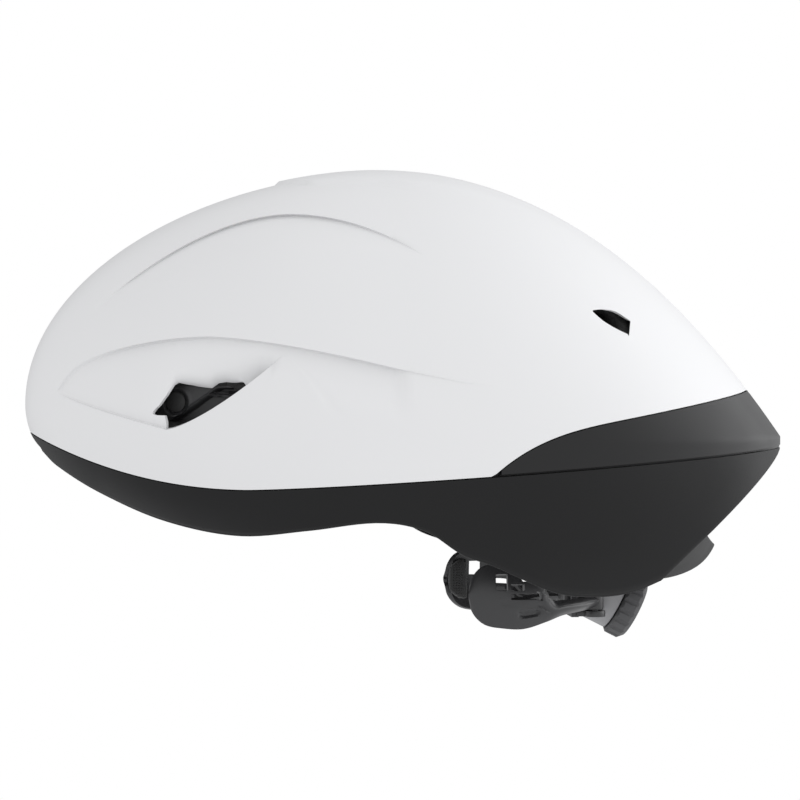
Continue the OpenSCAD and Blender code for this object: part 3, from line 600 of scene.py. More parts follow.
def makeBeadGroup():
    # foam beads: cells with soft joints, each a touch lighter or darker
    tree, gin, gout = nodeGroup("foamBeads", [
        ("Tone", "NodeSocketColor", (0.02, 0.02, 0.02, 1)),
        ("Bead Tone", "NodeSocketColor", (0.04, 0.04, 0.04, 1)),
        ("Bead Scale", "NodeSocketFloat", 300.0), ("Joint Depth", "NodeSocketFloat", 0.6)],
        [("Color", "NodeSocketColor"), ("Normal", "NodeSocketVector"), ("Joint", "NodeSocketFloat")])
    n = tree.nodes
    cells, edges, blend, joint, bump, split = (n.new("ShaderNodeTexVoronoi"), n.new("ShaderNodeTexVoronoi"),
                                               n.new("ShaderNodeMix"), n.new("ShaderNodeMapRange"),
                                               n.new("ShaderNodeBump"), n.new("ShaderNodeSeparateColor"))
    edges.feature = "DISTANCE_TO_EDGE"
    for v in (cells, edges):
        v.inputs["Scale"].default_value = 1
    blend.data_type = "RGBA"
    joint.inputs["From Max"].default_value = 0.16
    bump.inputs["Distance"].default_value = 0.0005
    place = mapped(tree, gin.outputs["Bead Scale"])
    linkNodes(tree, [
        (place, cells.inputs["Vector"]), (place, edges.inputs["Vector"]),
        (cells.outputs["Color"], split.inputs[0]), (split.outputs[0], blend.inputs["Factor"]),
        (gin.outputs["Tone"], blend.inputs[6]), (gin.outputs["Bead Tone"], blend.inputs[7]),
        (blend.outputs[2], gout.inputs["Color"]),
        (edges.outputs["Distance"], joint.inputs["Value"]), (joint.outputs["Result"], gout.inputs["Joint"]),
        (joint.outputs["Result"], bump.inputs["Height"]),
        (gin.outputs["Joint Depth"], bump.inputs["Strength"]),
        (bump.outputs["Normal"], gout.inputs["Normal"])])
    return tree


def makeKnitGroup():
    # spacer-mesh cloth: rows of small round eyes between soft threads
    tree, gin, gout = nodeGroup("knitCloth", [
        ("Thread", "NodeSocketColor", (0.05, 0.05, 0.05, 1)),
        ("Eye", "NodeSocketColor", (0.01, 0.01, 0.01, 1)),
        ("Eye Scale", "NodeSocketFloat", 700.0), ("Thread Height", "NodeSocketFloat", 0.7)],
        [("Color", "NodeSocketColor"), ("Normal", "NodeSocketVector")])
    n = tree.nodes
    cells, fuzz, eye, blend, height, bump = (n.new("ShaderNodeTexVoronoi"), n.new("ShaderNodeTexNoise"),
                                             n.new("ShaderNodeMapRange"), n.new("ShaderNodeMix"),
                                             n.new("ShaderNodeMath"), n.new("ShaderNodeBump"))
    cells.inputs["Scale"].default_value = 1
    cells.inputs["Randomness"].default_value = 0.25
    fuzz.inputs["Scale"].default_value = 2600
    fuzz.inputs["Detail"].default_value = 2
    eye.inputs["From Min"].default_value = 0.22
    eye.inputs["From Max"].default_value = 0.42
    blend.data_type = "RGBA"
    height.operation = "MULTIPLY_ADD"
    height.inputs[1].default_value = 0.3
    bump.inputs["Distance"].default_value = 0.0005
    coords = n.new("ShaderNodeTexCoord")
    linkNodes(tree, [
        (mapped(tree, gin.outputs["Eye Scale"]), cells.inputs["Vector"]),
        (coords.outputs["Object"], fuzz.inputs["Vector"]),
        (cells.outputs["Distance"], eye.inputs["Value"]),
        (eye.outputs["Result"], blend.inputs["Factor"]),
        (gin.outputs["Eye"], blend.inputs[6]), (gin.outputs["Thread"], blend.inputs[7]),
        (blend.outputs[2], gout.inputs["Color"]),
        (fuzz.outputs["Fac"], height.inputs[0]), (eye.outputs["Result"], height.inputs[2]),
        (height.outputs[0], bump.inputs["Height"]), (gin.outputs["Thread Height"], bump.inputs["Strength"]),
        (bump.outputs["Normal"], gout.inputs["Normal"])])
    return tree


def makeBrushedGroup():
    # fine drawn lines along one axis
    tree, gin, gout = nodeGroup("drawnMetal", [
        ("Tone", "NodeSocketColor", (0.5, 0.5, 0.5, 1)), ("Streak", "NodeSocketColor", (0.7, 0.7, 0.7, 1)),
        ("Line Scale", "NodeSocketFloat", 4000.0)],
        [("Color", "NodeSocketColor"), ("Roughness", "NodeSocketFloat"), ("Normal", "NodeSocketVector")])
    n = tree.nodes
    squash, lines, blend, gloss, bump = (n.new("ShaderNodeMapping"), n.new("ShaderNodeTexNoise"),
                                         n.new("ShaderNodeMix"), n.new("ShaderNodeMapRange"),
                                         n.new("ShaderNodeBump"))
    squash.inputs["Scale"].default_value = (1, 0.05, 1)
    lines.inputs["Scale"].default_value = 1
    blend.data_type = "RGBA"
    gloss.inputs["To Min"].default_value = 0.22
    gloss.inputs["To Max"].default_value = 0.42
    bump.inputs["Distance"].default_value = 0.00005
    bump.inputs["Strength"].default_value = 0.3
    linkNodes(tree, [
        (mapped(tree, gin.outputs["Line Scale"]), squash.inputs["Vector"]),
        (squash.outputs[0], lines.inputs["Vector"]),
        (lines.outputs["Fac"], blend.inputs["Factor"]),
        (gin.outputs["Tone"], blend.inputs[6]), (gin.outputs["Streak"], blend.inputs[7]),
        (blend.outputs[2], gout.inputs["Color"]), (lines.outputs["Fac"], gloss.inputs["Value"]),
        (gloss.outputs["Result"], gout.inputs["Roughness"]),
        (lines.outputs["Fac"], bump.inputs["Height"]), (bump.outputs["Normal"], gout.inputs["Normal"])])
    return tree


mouldedGroup, beadGroup, knitGroup, brushedGroup = (makeMouldedGroup(), makeBeadGroup(),
                                                    makeKnitGroup(), makeBrushedGroup())


def grey(v, blue=1.0):
    return (v, v, v * blue, 1)


def material(name, group, values, wires, fixed):
    mat = bpy.data.materials.new(name)
    mat.use_nodes = True
    tree = mat.node_tree
    shader = tree.nodes["Principled BSDF"]
    effect = tree.nodes.new("ShaderNodeGroup")
    effect.node_tree = group
    effect.location = (-300, 0)
    for key, value in values.items():
        effect.inputs[key].default_value = value
    for a, b in wires.items():
        tree.links.new(effect.outputs[a], shader.inputs[b])
    for key, value in fixed.items():
        shader.inputs[key].default_value = value
    return mat


surfaceWires = {"Color": "Base Color", "Roughness": "Roughness", "Normal": "Normal"}
clothWires = {"Color": "Base Color", "Normal": "Normal"}
finishes = {
    "shell_paint": material("whitePaint", mouldedGroup, {
        "Tone": grey(0.735, 1.005), "Drift": grey(0.72, 1.01), "Drift Scale": 16, "Grain Scale": 900,
        "Grain Height": 0.03, "Gloss Low": 0.44, "Gloss High": 0.52}, surfaceWires,
        {"Coat Weight": 0.08, "Coat Roughness": 0.4, "IOR": 1.5, "Specular IOR Level": 0.4}),
    "tail_satin": material("tailSatin", mouldedGroup, {
        "Tone": grey(0.007, 1.05), "Drift": grey(0.009, 1.06), "Drift Scale": 24, "Grain Scale": 1400,
        "Grain Height": 0.05, "Gloss Low": 0.4, "Gloss High": 0.46}, surfaceWires,
        {"IOR": 1.5, "Specular IOR Level": 0.3}),
    "lower_matte": material("lowerMatte", mouldedGroup, {
        "Tone": grey(0.008, 1.04), "Drift": grey(0.0095, 1.05), "Drift Scale": 22, "Grain Scale": 1800,
        "Grain Height": 0.16, "Gloss Low": 0.5, "Gloss High": 0.6}, surfaceWires,
        {"IOR": 1.48, "Specular IOR Level": 0.22}),
    "fitting_plastic": material("fittingPlastic", mouldedGroup, {
        "Tone": grey(0.026, 1.05), "Drift": grey(0.034, 1.05), "Drift Scale": 60, "Grain Scale": 2200,
        "Grain Height": 0.14, "Gloss Low": 0.36, "Gloss High": 0.5}, surfaceWires, {"IOR": 1.5}),
    "cradle_plastic": material("cradlePlastic", mouldedGroup, {
        "Tone": grey(0.026, 1.05), "Drift": grey(0.034, 1.05), "Drift Scale": 50, "Grain Scale": 2000,
        "Grain Height": 0.12, "Gloss Low": 0.3, "Gloss High": 0.42}, surfaceWires, {"IOR": 1.5}),
    "housing_plastic": material("housingPlastic", mouldedGroup, {
        "Tone": grey(0.25, 1.03), "Drift": grey(0.28, 1.03), "Drift Scale": 60, "Grain Scale": 2000,
        "Grain Height": 0.12, "Gloss Low": 0.3, "Gloss High": 0.4}, surfaceWires, {"IOR": 1.5}),
    "spool_plastic": material("spoolPlastic", mouldedGroup, {
        "Tone": grey(0.11, 1.04), "Drift": grey(0.13, 1.04), "Drift Scale": 60, "Grain Scale": 2200,
        "Grain Height": 0.1, "Gloss Low": 0.3, "Gloss High": 0.4}, surfaceWires, {"IOR": 1.5}),
    "dial_grip": material("dialGrip", mouldedGroup, {
        "Tone": grey(0.07, 1.04), "Drift": grey(0.08, 1.04), "Drift Scale": 90, "Grain Scale": 2600,
        "Grain Height": 0.25, "Gloss Low": 0.55, "Gloss High": 0.7}, surfaceWires, {"IOR": 1.45}),
    "foam": material("beadFoam", beadGroup, {
        "Tone": grey(0.016), "Bead Tone": grey(0.026), "Bead Scale": 380, "Joint Depth": 0.45}, clothWires,
        {"Roughness": 0.72, "IOR": 1.4}),
    "pad_cloth": material("padCloth", knitGroup, {
        "Thread": grey(0.030), "Eye": grey(0.014), "Eye Scale": 900, "Thread Height": 0.5}, clothWires,
        {"Roughness": 0.9, "Sheen Weight": 0.35, "Sheen Roughness": 0.5, "IOR": 1.4}),
    "magnet_steel": material("magnetCoat", mouldedGroup, {
        "Tone": grey(0.022), "Drift": grey(0.028), "Drift Scale": 90, "Grain Scale": 2600,
        "Grain Height": 0.1, "Gloss Low": 0.5, "Gloss High": 0.6}, surfaceWires, {"IOR": 1.45}),
    "pin_steel": material("pinSteel", brushedGroup, {
        "Tone": grey(0.42), "Streak": grey(0.6), "Line Scale": 4200}, surfaceWires, {"Metallic": 1.0}),
}
print("finishes made:", len(finishes))


def dress(obj, slotName, body, replaced=()):
    obj.data.materials.clear()
    obj.data.materials.append(finishes[slotName])
    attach(obj, body)
    if replaced:
        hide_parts(*replaced)
    return obj


# shells
headCentre = Vector((0.02, 0, -0.07))
slotLean = 1.4


def upperShell():
    xs = stations()
    columns = [shellColumn(x) for x in xs]
    half = len(columns[0]) - 1

    def place(i, j, depth=0.0):
        k = j - half
        z, press = columns[i][abs(k)]
        side = 0 if k == 0 else math.copysign(1, k)
        if slotX[0] <= xs[i] <= slotX[1] and slotRows[0] <= abs(k) <= slotRows[1]:
            # the slot's walls run straight in from the side, and its rear end leans
            lean = (xs[i] == slotX[1]) * slotLean * (abs(k) - slotRows[0]) / (slotRows[1] - slotRows[0])
            return recessPoint(xs[i] - lean, z, side, depth)
        return recessPoint(xs[i], z, side, press, depth)

    def skip(i, j):
        x, k = (xs[i] + xs[i + 1]) / 2, (half - 1 - j if j < half else j - half)
        inHole = holeX[0] < x < holeX[1] and holeRows[0] <= k < (holeRows[1] if x < notchX else holeRows[2])
        inSlot = slotX[0] < x < slotX[1] and slotRows[0] <= k < slotRows[1]
        return inHole or inSlot
    bm = gridSurface(len(xs) - 1, 2 * half, place, skip,
                     lambda i, j: place(i, j, shellForm["paintWall"]), headCentre)
    obj = finishMesh(addPiece("paintedShell", bm), 48)
    return dress(obj, "shell_paint", "helmet", ["outer_shell"])


tailForm = {"joinGap": 0.6, "tipGap": 0.6, "tongue": 2.2, "tipTongue": 0.85, "tipX": 165, "tipReach": 15}


def tailShell():
    joinX, endX, gap = whiteEndX + tailForm["joinGap"], tailX - tailForm["tipGap"], shellForm["seamGap"]
    arms, over, rows, tongue = 60, 12, 20, 2
    xs = [mix(tailEdgeX + 2, whiteEndX - 1, k / arms) for k in range(arms + 1)]
    xs += [mix(joinX, endX, k / over) for k in range(over + 1)]

    def place(i, j, depth=0.0):
        x = xs[i]
        top = tailEdge(x) - gap if x < joinX else topAt(x)
        low = min(top - 0.3, seamAt(x) + gap)
        k = full - j if j <= full else j - full - 1
        side = -1 if j <= full else 1
        if k > rows:                                     # steps in behind the joint and reaches below it
            tip = ease((x - tailForm["tipX"]) / tailForm["tipReach"])
            down = 0 if k == rows + 1 else mix(tailForm["tongue"], tailForm["tipTongue"], tip)
            return skinPoint(x, low - down, side, depth + mix(shellForm["darkWall"] + 0.2, 0.35, tip))
        return skinPoint(x, mix(top, low, (k / rows) ** 1.5), side, depth)

    full = rows + tongue
    bm = gridSurface(len(xs) - 1, 2 * full + 1, place, lambda i, j: j == full and xs[i] < joinX,
                     lambda i, j: place(i, j, shellForm["darkWall"]), headCentre)
    obj = finishMesh(addPiece("tailCover", bm), 40)
    return dress(obj, "tail_satin", "helmet", ["tail_shell"])


lowerForm = {"noseTop": 2, "noseRim": 6.7, "endX": 182.8, "edgeRound": 1.3,
             "lip": 8, "lipShare": [(100, 1), (122, 0.45), (132, 0.05)]}


def lowerShell():
    wall, rho = shellForm["darkWall"], lowerForm["edgeRound"]
    front, rear, rows, arc = 60, 76, 22, 4
    steps = [k / front for k in range(front + 1)] + [1 + k / rear for k in range(1, rear + 1)]
    half = len(steps) - 1

    def level(v):
        flat = Vector((v.x, v.y, 0))
        return flat / max(1e-4, flat.length)

    def lowerX(f, r):
        x0 = noseX + mix(lowerForm["noseTop"], lowerForm["noseRim"], r)
        if f <= 1:
            return mix(x0, crownX, 1 - math.cos(math.pi / 2 * f))
        return mix(crownX, lowerForm["endX"], f - 1)

    def point(f, r, side, up=0.0):
        x = lowerX(f, r)
        z = mix(seamAt(x) - shellForm["seamGap"], rimAt(x) + up, r)
        y = 0 if f == 0 else side * halfAt(x, z)
        return Vector((x, y, z))

    def place(i, j):
        k = i - half
        f, side = steps[abs(k)], (1 if k >= 0 else -1)
        if j <= rows:
            return point(f, j / rows, side, rho)
        edge = point(f, 1, side)
        n = level(outDir(edge.x, edge.y, edge.z))
        if j <= rows + arc:
            a = math.pi / 2 * (j - rows) / arc
            turned = rho * (n * math.cos(a) - Vector((0, 0, math.sin(a))))
            return edge + Vector((0, 0, rho)) - rho * n + turned
        run = wall + (lowerForm["lip"] - wall) * ramp(lowerForm["lipShare"], edge.x)
        t = (j - rows - arc) / 3
        return edge - mix(rho, max(run, rho + 0.3), t) * n + Vector((0, 0, 0.5 * t))

    bm = gridSurface(2 * half, rows + arc + 3, place)
    obj = addPiece("lowerWrap", bm, Vector((0.02, 0, -0.09)))
    thicken(obj, wall, sharpDeg=40)
    return dress(obj, "lower_matte", "helmet", ["lower_shell"])


scoopForm = {"frontX": 130, "endX": 158.2, "endCurve": 16, "floorZ": -137.4, "sides": 14, "rise": 9.3,
             "turnUp": 4.9, "gap": 0.6, "sideGap": 0.8, "wall": 2.6, "edge": 1.1}


def exhaustTray():
    across, along = 64, 28

    def place(i, j):
        t, f = 2 * i / across - 1, (j / along) ** 0.8
        x = mix(scoopForm["frontX"], scoopForm["endX"] - scoopForm["endCurve"] * t * t, f)
        z = scoopForm["floorZ"] + scoopForm["sides"] * abs(t) ** 3 * (1 - 0.14 * f) \
            + scoopForm["rise"] * f ** 2 + scoopForm["turnUp"] * f ** 8
        h = halfAt(x, z)
        n = outDir(x, h, z)
        inside = h - (shellForm["darkWall"] + scoopForm["gap"]) / n.y - scoopForm["sideGap"]
        return Vector((x, t * inside, z))
    bm = gridSurface(across, along, place)
    obj = addPiece("exhaustScoop", bm, Vector((0.145, 0, 0.0)))
    thicken(obj, scoopForm["wall"], bevel=scoopForm["edge"], segments=4, sharpDeg=60)
    return dress(obj, "lower_matte", "helmet", ["exhaust_tray"])


upperShell()
tailShell()
lowerShell()
exhaustTray()
print("shells made")


# foam liner
foamForm = {"voxel": 2.1, "softenShare": 0.5, "softenSteps": 4}


def foamBlock(node, name):
    obj = dressed(node, bevel=0, name=name)
    remesh = obj.modifiers.new("remesh", "REMESH")
    remesh.mode = "VOXEL"
    remesh.voxel_size = foamForm["voxel"] * mm
    soften = obj.modifiers.new("soften", "SMOOTH")
    soften.factor = foamForm["softenShare"]
    soften.iterations = foamForm["softenSteps"]
    settle(obj, 60)
    return dress(obj, "foam", "helmet", [node])


foamBlock("eps_front", "foamFront")
foamBlock("eps_rear", "foamRear")
print("foam made")


# vent brackets
ventForm = {"x": (-78, -36), "magnet": (-65, -68.778, -63.6), "turn": 24, "seat": 4.3, "proud": 0.35,
            "pocketAt": (-58, -63.4), "pocketSlope": 0.735, "pocket": 6, "barX": -52, "barZ": -58.6,
            "bar": 6.5, "ribX": -53, "ribZ": -60.6, "rib": 3.6, "wall": 1.4}


def intakeRows(x):
    return [mix(whiteLow(x), topAt(x), c) for c in creaseRows(x)]


def shellInside(x, z):
    # half width of the painted shell's inner face at a point of the lower intake
    rows = intakeRows(x)
    press = floorPress(x, z, rows[8], rows[9], rows[10], rows[11]) if z > rows[11] else sinkPress(x, z)
    return recessPoint(x, z, 1, press, shellForm["paintWall"] + 0.2).y


def ventBracket(side):
    nu, nv = 84, 48
    x0, x1 = ventForm["x"]
    mx, my, mz = ventForm["magnet"]
    turn = math.radians(ventForm["turn"])

    def place(i, j):
        x = mix(x0, x1, i / nu)
        rows = intakeRows(x)
        z = mix(rows[9] + 2.2, rows[11] - 2.4, j / nv)
        # the seat's plane, with a round recess for the magnet
        y = -my + math.tan(turn) * (x - mx)
        r = math.hypot((x - mx) / math.cos(turn), z - mz)
        seat = 1 - ease((r - ventForm["seat"]) / 0.9)
        ring = math.exp(-((r - ventForm["seat"] - 1.4) / 0.9) ** 2)
        y += ventForm["proud"] * (1 - seat) * (1 + 1.2 * ring) - seat
        # along the lip a pocket, with a bar across its top and a thin rib
        px, pz = ventForm["pocketAt"]
        back = ease((ventForm["pocketSlope"] * (x - px) - (z - pz)) / 4)
        bar = ease((z - ventForm["barZ"]) / 0.9) * ease((x - ventForm["barX"]) / 1.6)
        rib = math.exp(-((z - ventForm["ribZ"]) / 0.5) ** 2) * ease((x - ventForm["ribX"]) / 1.5)
        y += back * (-ventForm["pocket"] + ventForm["bar"] * bar + ventForm["rib"] * rib * (1 - bar))
        return Vector((x, side * min(y, shellInside(x, z)), z))
    bm = gridSurface(nu, nv, place)
    obj = addPiece("ventBracket_left" if side < 0 else "ventBracket_right", bm, headCentre)
    thicken(obj, ventForm["wall"], sharpDeg=40)
    return dress(obj, "fitting_plastic", "helmet",
                 ["vent_insert_left" if side < 0 else "vent_insert_right"])


for side in (-1, 1):
    ventBracket(side)
print("vent brackets made")


# plain fittings, with the round of their edges
fittings = {
    "shield_magnet_left": 0.25, "shield_magnet_right": 0.25,
    "front_anchor_left": 0.6, "front_anchor_right": 0.6,
    "rear_anchor_left": 0.6, "rear_anchor_right": 0.6,
    "hanger_bracket": 0.5, "hanger_pin": 0.2, "ladder_guide": 0.5, "ladder_strap": 0.4,
    "cradle_yoke": 0.5, "dial_housing": 0.5, "housing_screws": 0.15, "wing_pins": 0.2,
    "dial_knob": 0.35, "lace_spool": 0.25, "dial_screw": 0.2,
}
slotOf = {s["node"]: s["material_slot"] for s in frame["record"]["subparts"]}
for node, bevel in fittings.items():
    piece = dressed(node, bevel)
    dress(piece, slotOf[node], nodes[node]["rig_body"])
print("fittings dressed")


# cradle wings
wingForm = {
    "midX": 62, "halfX": 48, "halfY": 50, "wall": 2.4, "bow": 2.2, "edge": 0.5,
    "groove": 0.6, "dish": 1.2,
    "pinAt": (107, 17, -145.7), "knuckleR": 3.5, "knuckleH": 7.4, "knuckleEdge": 0.5,
    "top": [(24, -143.4), (55, -143.6), (60, -143), (64, -138.4), (67, -132), (72, -128.9), (80, -128.2),
            (92, -128.6), (96, -129.6), (99, -131.8), (101, -134.8), (102, -138)],
    "low": [(24, -148.2), (38, -148.8), (53, -149.8), (63, -152), (76, -154.6), (88, -154), (94, -152.9),
            (98, -150.6), (101, -147), (102, -143.5)],
    "angles": [20.5, 26, 32, 40, 48, 55, 60, 64, 67, 70, 73.7, 76, 78.5, 82.5, 84, 89.5, 93, 97, 99.5, 101,
               102],
    "shares": [0, 0.165, 0.275, 0.32, 0.415, 0.46, 0.55, 0.8, 1],
    "slots": [(10, 1), (11, 1), (11, 3), (12, 3), (8, 5), (9, 5), (10, 5), (11, 5), (12, 5), (8, 4), (14, 1),
              (14, 2), (14, 3)],
}


def wingPoint(a, f, depth):
    ca, sa = math.cos(math.radians(a)), math.sin(math.radians(a))
    n = Vector((ca / wingForm["halfX"], sa / wingForm["halfY"], 0)).normalized()
    z = mix(curve(wingForm["top"], a), curve(wingForm["low"], a), f)
    return Vector((wingForm["midX"] + wingForm["halfX"] * ca, wingForm["halfY"] * sa, z)) \
        + (wingForm["bow"] * math.sin(math.pi * f) - depth) * n


def wing(side):
    cut = 5
    angles, shares = wingForm["angles"], wingForm["shares"]

    def sub(values, k):
        i = min(k // cut, len(values) - 2)
        return mix(values[i], values[i + 1], (k - i * cut) / cut)

    def place(i, j):
        a, f = sub(angles, i), sub(shares, j)
        line = mix(0.6, 0.66, clamp((88 - a) / 26, 0, 1))           # moulded crease below the slots
        onBlade = ease((a - 60) / 4) * (1 - ease((a - 86) / 3))
        groove = wingForm["groove"] * math.exp(-((f - line) / 0.02) ** 2) * onBlade
        dish = wingForm["dish"] * (1 - ease((math.hypot((a - 73) / 8, (f - 0.77) / 0.045) - 0.7) / 0.4))
        p = wingPoint(a, f, groove + dish)
        return Vector((p.x, side * p.y, p.z))

    bm = gridSurface(cut * (len(angles) - 1), cut * (len(shares) - 1), place,
                     lambda i, j: (i // cut, j // cut) in wingForm["slots"])
    obj = addPiece("wing_left_arm" if side < 0 else "wing_right_arm", bm, Vector((0.062, 0, -0.14)))
    thicken(obj, wingForm["wall"], bevel=wingForm["edge"], sharpDeg=50)
    body = "wing_left" if side < 0 else "wing_right"
    # the knuckle round its pin
    px, py, pz = wingForm["pinAt"]
    radius = wingForm["knuckleR"] * mm
    knuckle = bmesh.new()
    bmesh.ops.create_cone(knuckle, cap_ends=True, segments=40, radius1=radius, radius2=radius,
                          depth=wingForm["knuckleH"] * mm,
                          matrix=Matrix.Translation((px * mm, side * py * mm, pz * mm)))
    rims = [e for e in knuckle.edges if e.calc_face_angle(0) > 1]
    bmesh.ops.bevel(knuckle, geom=rims, offset=wingForm["knuckleEdge"] * mm, segments=3, profile=0.5,
                    affect="EDGES", material=-1)
    post = addPiece(body + "_knuckle", knuckle)
    finishMesh(post)
    dress(post, "cradle_plastic", body)
    return dress(obj, "cradle_plastic", body, [body])


for side in (-1, 1):
    wing(side)
print("wings made")


# soft pads
padForm = {"gap": 0.6, "edgeShare": 0.22, "pinch": 0.1, "headHalf": (101, 81, 81), "domeZ": -75,
           "startShare": 0.86, "pressure": 3, "stiffness": 40, "mass": 0.2, "steps": 12, "limit": 0.9,
           "sewnReach": 2.2, "sewnShare": 0.42}


def domePoint(x, y, depth):
    hx, hy, hz = padForm["headHalf"]
    q = 1 - (x / hx) ** 2 - (y / hy) ** 2
    z = padForm["domeZ"] + hz * math.sqrt(max(0, q))
    n = Vector((x / hx ** 2, y / hy ** 2, (z - padForm["domeZ"]) / hz ** 2)).normalized()
    return Vector((x, y, z)) - depth * n


def wallPoint(angle, z, depth):
    hx, hy, hz = padForm["headHalf"]
    dz = z - padForm["domeZ"]
    k = 1 if dz <= 0 else math.sqrt(max(0, 1 - (dz / hz) ** 2))
    x, y = hx * k * math.cos(math.radians(angle)), hy * k * math.sin(math.radians(angle))
    n = Vector((x / hx ** 2, y / hy ** 2, max(0, dz) / hz ** 2)).normalized()
    return Vector((x, y, z)) - depth * n


def drawn(f, g):
    return 0.5 + (f - 0.5) * (1 - padForm["pinch"] * abs(2 * g - 1) ** 2)


def padCrown(u, v, t):
    e = (max(0, math.sin(math.pi * u)) * max(0, math.sin(math.pi * v))) ** 0.45
    return t * (padForm["edgeShare"] + (1 - padForm["edgeShare"]) * e)


def softPad(name, at, thick, body, replaced, channels=(0.5,), nu=64, nv=26):
    # a closed cushion, filled by a short cloth run, then sewn down along its channels
    def frontFace(i, j):
        u, v = i / nu, j / nv
        return at(drawn(u, v), drawn(v, u), padForm["gap"] + padCrown(u, v, thick * padForm["startShare"]))

    def backFace(i, j):
        u, v = i / nu, j / nv
        return at(drawn(u, v), drawn(v, u), padForm["gap"])
    bm = gridSurface(nu, nv, frontFace)
    back = gridSurface(nu, nv, backFace)
    backMesh = bpy.data.meshes.new("backFace")
    back.to_mesh(backMesh)
    back.free()
    bm.from_mesh(backMesh)
    bpy.data.meshes.remove(backMesh)
    rims = [e for e in bm.edges if e.is_boundary]
    bmesh.ops.bridge_loops(bm, edges=rims)
    bmesh.ops.recalc_face_normals(bm, faces=bm.faces[:])
    obj = addPiece(name, bm)
    rest = [v.co.copy() for v in obj.data.vertices]
    cloth = obj.modifiers.new("fill", "CLOTH").settings
    cloth.use_pressure = True
    cloth.uniform_pressure_force = padForm["pressure"]
    cloth.tension_stiffness = padForm["stiffness"]
    cloth.compression_stiffness = padForm["stiffness"]
    cloth.mass = padForm["mass"]
    cloth.quality = 4
    cloth.effector_weights.gravity = 0
    held = obj.vertex_groups.new(name="held")
    count = (nu + 1) * (nv + 1)
    held.add([v.index for v in obj.data.vertices if v.index >= count], 1.0, "REPLACE")
    cloth.vertex_group_mass = "held"
    for step in range(padForm["steps"]):
        bpy.context.scene.frame_set(step + 1)
    settle(obj)
    bpy.context.scene.frame_set(1)
    obj.vertex_groups.clear()
    limit = padForm["limit"] * mm
    for v, was in zip(obj.data.vertices, rest):
        move = v.co - was
        if move.length > limit:
            v.co = was + move * (limit / move.length)
    for v in obj.data.vertices:
        v.co -= sewnPull(at, v.co / mm, channels, thick) * mm
    smooth = obj.modifiers.new("round", "SUBSURF")
    smooth.levels = smooth.render_levels = 1
    settle(obj, 75)
    dress(obj, "pad_cloth", body, replaced)
    return obj


def sewnPull(at, p, channels, thick):
    # how far a point of the pad is drawn back towards its base by the sewn lines
    total = Vector((0, 0, 0))
    for c in channels:
        for k in range(9):
            v = k / 8
            base = at(drawn(c, v), drawn(v, c), padForm["gap"])
            top = at(drawn(c, v), drawn(v, c), padForm["gap"] + thick)
            across = top - base
            rel = p - base
            along = rel.dot(across.normalized())
            if along < 0.5 or along > thick * 1.4:
                continue
            off = (rel - along * across.normalized()).length
            pull = math.exp(-(off / padForm["sewnReach"]) ** 2) * padForm["sewnShare"] * min(along, thick)
            if pull > total.length:
                total = across.normalized() * pull
    return total


def bandPad(a0, a1, z0, z1):
    return lambda u, v, depth: wallPoint(mix(a0, a1, u), mix(z0, z1, v), depth)


softPad("browPad", bandPad(132, 228, -84, -62), 4.5, "helmet", ["brow_pad"],
        (0.2, 0.35, 0.5, 0.65, 0.8), nu=110)
softPad("crownPad", lambda u, v, depth: domePoint(mix(-62, 50, u), mix(-17, 17, v), depth), 5.4, "helmet",
        ["crown_pad"], (0.33, 0.66), nu=90)
for side in (-1, 1):
    name = "left" if side < 0 else "right"
    flipY = Vector((1, side, 1))
    sideBand = bandPad(60, 104, -78, -54)
    softPad("sidePad_" + name, lambda u, v, depth: sideBand(u, v, depth) * flipY, 6, "helmet",
            ["side_pad_" + name], (0.5,), nu=60)
    onWing = wingForm["wall"]
    softPad("wingPad_" + name,
            lambda u, v, depth: wingPoint(mix(90.5, 100.5, u), mix(0.14, 0.84, v), onWing + depth) * flipY,
            4, "wing_" + name, ["wing_pad_" + name], (), nu=26)
print("pads made")


# floor, light and camera
studio = {"look": (0.0287, 0, -0.0640), "turn": -5, "rise": 0.9, "distance": 1.5, "lens": 164.6,
          "level": 1.12, "overhead": -0.34, "zenith": 0.25, "below": -0.24, "tailward": 0.06, "beyond": -0.1,
          "dark": -0.9, "behind": 2.2, "floorGap": 0.001, "floorSize": 20,
          "lampAt": (-0.3, -2.4, 0.5), "lampSize": (2.2, 1.6), "lampPower": 1}
scene = bpy.context.scene


def makeLamp():
    data = bpy.data.lights.new("lamp", "AREA")
    data.shape = "RECTANGLE"
    data.size, data.size_y = studio["lampSize"]
    data.energy = studio["lampPower"]
    lamp = bpy.data.objects.new("lamp", data)
    scene.collection.objects.link(lamp)
    lamp.location = studio["lampAt"]
    aim = Vector(studio["look"]) - Vector(studio["lampAt"])
    lamp.rotation_mode = "QUATERNION"
    lamp.rotation_quaternion = aim.to_track_quat("-Z", "Y")


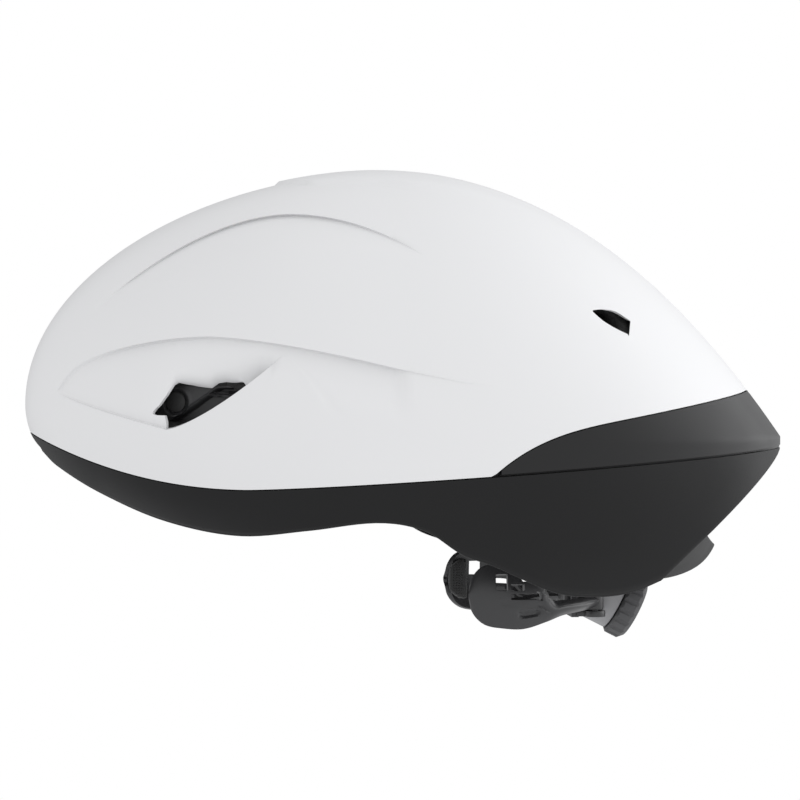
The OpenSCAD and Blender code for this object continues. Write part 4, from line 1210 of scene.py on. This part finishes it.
def makeWorld():
    world = bpy.data.worlds.new("studioWorld")
    scene.world = world
    world.use_nodes = True
    tree = world.node_tree
    back = tree.nodes["Background"]
    # the room is dimmer overhead and below, and brighter on the side of the tail
    where, parts = tree.nodes.new("ShaderNodeTexCoord"), tree.nodes.new("ShaderNodeSeparateXYZ")
    linkNodes(tree, [(where.outputs["Generated"], parts.inputs[0])])

    def share(axis, low, high, amount):
        fade = tree.nodes.new("ShaderNodeMapRange")
        fade.inputs["From Min"].default_value = low
        fade.inputs["From Max"].default_value = high
        fade.inputs["To Max"].default_value = amount
        linkNodes(tree, [(parts.outputs[axis], fade.inputs["Value"])])
        return fade.outputs["Result"]

    total = share("X", -1, 1, 2 * studio["tailward"])
    # a bright corner behind the tail shows in its satin, above the fin;
    # a dark patch straight beyond gives the outline an edge
    side, corner = tree.nodes.new("ShaderNodeMath"), tree.nodes.new("ShaderNodeMath")
    side.operation = corner.operation = "MULTIPLY"
    linkNodes(tree, [(share("X", 0.6, 0.95, 1), side.inputs[0]), (share("Y", -0.7, 0, 1), side.inputs[1]),
                     (side.outputs[0], corner.inputs[0]),
                     (share("Z", -0.15, 0.15, studio["behind"]), corner.inputs[1])])
    for part in (share("Z", 0, 1, studio["overhead"]), share("Z", 0, -1, studio["below"]),
                 share("Z", 0.75, 1, studio["zenith"]), share("Y", 0, 1, studio["beyond"]),
                 share("Y", 0.8, 1, studio["dark"]), corner.outputs[0]):
        add = tree.nodes.new("ShaderNodeMath")
        linkNodes(tree, [(total, add.inputs[0]), (part, add.inputs[1])])
        total = add.outputs[0]
    add = tree.nodes.new("ShaderNodeMath")
    add.inputs[1].default_value = studio["level"] - studio["tailward"]
    back.inputs["Color"].default_value = (0.985, 0.99, 1, 1)
    linkNodes(tree, [(total, add.inputs[0]), (add.outputs[0], back.inputs["Strength"])])
    seen = tree.nodes.new("ShaderNodeBackground")
    seen.inputs["Color"].default_value = (1, 1, 1, 1)
    seen.inputs["Strength"].default_value = 1.0
    path = tree.nodes.new("ShaderNodeLightPath")
    both = tree.nodes.new("ShaderNodeMixShader")
    out = tree.nodes["World Output"]
    linkNodes(tree, [(path.outputs["Is Camera Ray"], both.inputs[0]), (back.outputs[0], both.inputs[1]),
                     (seen.outputs[0], both.inputs[2]), (both.outputs[0], out.inputs[0])])


def makeCamera():
    data = bpy.data.cameras.new("camera")
    camera = bpy.data.objects.new("camera", data)
    scene.collection.objects.link(camera)
    a = math.radians(studio["turn"])
    look = Vector(studio["look"])
    e = math.radians(studio["rise"])
    camera.location = look + studio["distance"] * Vector(
        (math.sin(a) * math.cos(e), -math.cos(a) * math.cos(e), math.sin(e)))
    camera.rotation_euler = (math.pi / 2 - e, 0, a)
    data.sensor_width = 36
    data.lens = studio["lens"]
    data.clip_start = 0.05
    scene.camera = camera


def makeFloor():
    bm = bmesh.new()
    bmesh.ops.create_grid(bm, x_segments=1, y_segments=1, size=studio["floorSize"])
    bmesh.ops.translate(bm, verts=bm.verts, vec=(0, 0, cadBox[0][2] - studio["floorGap"]))
    mesh = bpy.data.meshes.new("floor")
    bm.to_mesh(mesh)
    bm.free()
    floor = bpy.data.objects.new("floor", mesh)
    scene.collection.objects.link(floor)
    mat = bpy.data.materials.new("floorWhite")
    mat.use_nodes = True
    tree = mat.node_tree
    tree.nodes.clear()
    glow, clear = tree.nodes.new("ShaderNodeEmission"), tree.nodes.new("ShaderNodeBsdfTransparent")
    side, both = tree.nodes.new("ShaderNodeNewGeometry"), tree.nodes.new("ShaderNodeMixShader")
    out = tree.nodes.new("ShaderNodeOutputMaterial")
    # a pale sweep as white as the room, clear when it is looked at from below
    linkNodes(tree, [(side.outputs["Backfacing"], both.inputs[0]), (glow.outputs[0], both.inputs[1]),
                     (clear.outputs[0], both.inputs[2]), (both.outputs[0], out.inputs["Surface"])])
    mesh.materials.append(mat)
    floor.visible_diffuse = floor.visible_glossy = floor.visible_shadow = False


makeWorld()
makeCamera()
makeFloor()
makeLamp()
scene.view_settings.view_transform = "Standard"
print("floor, light and camera made")
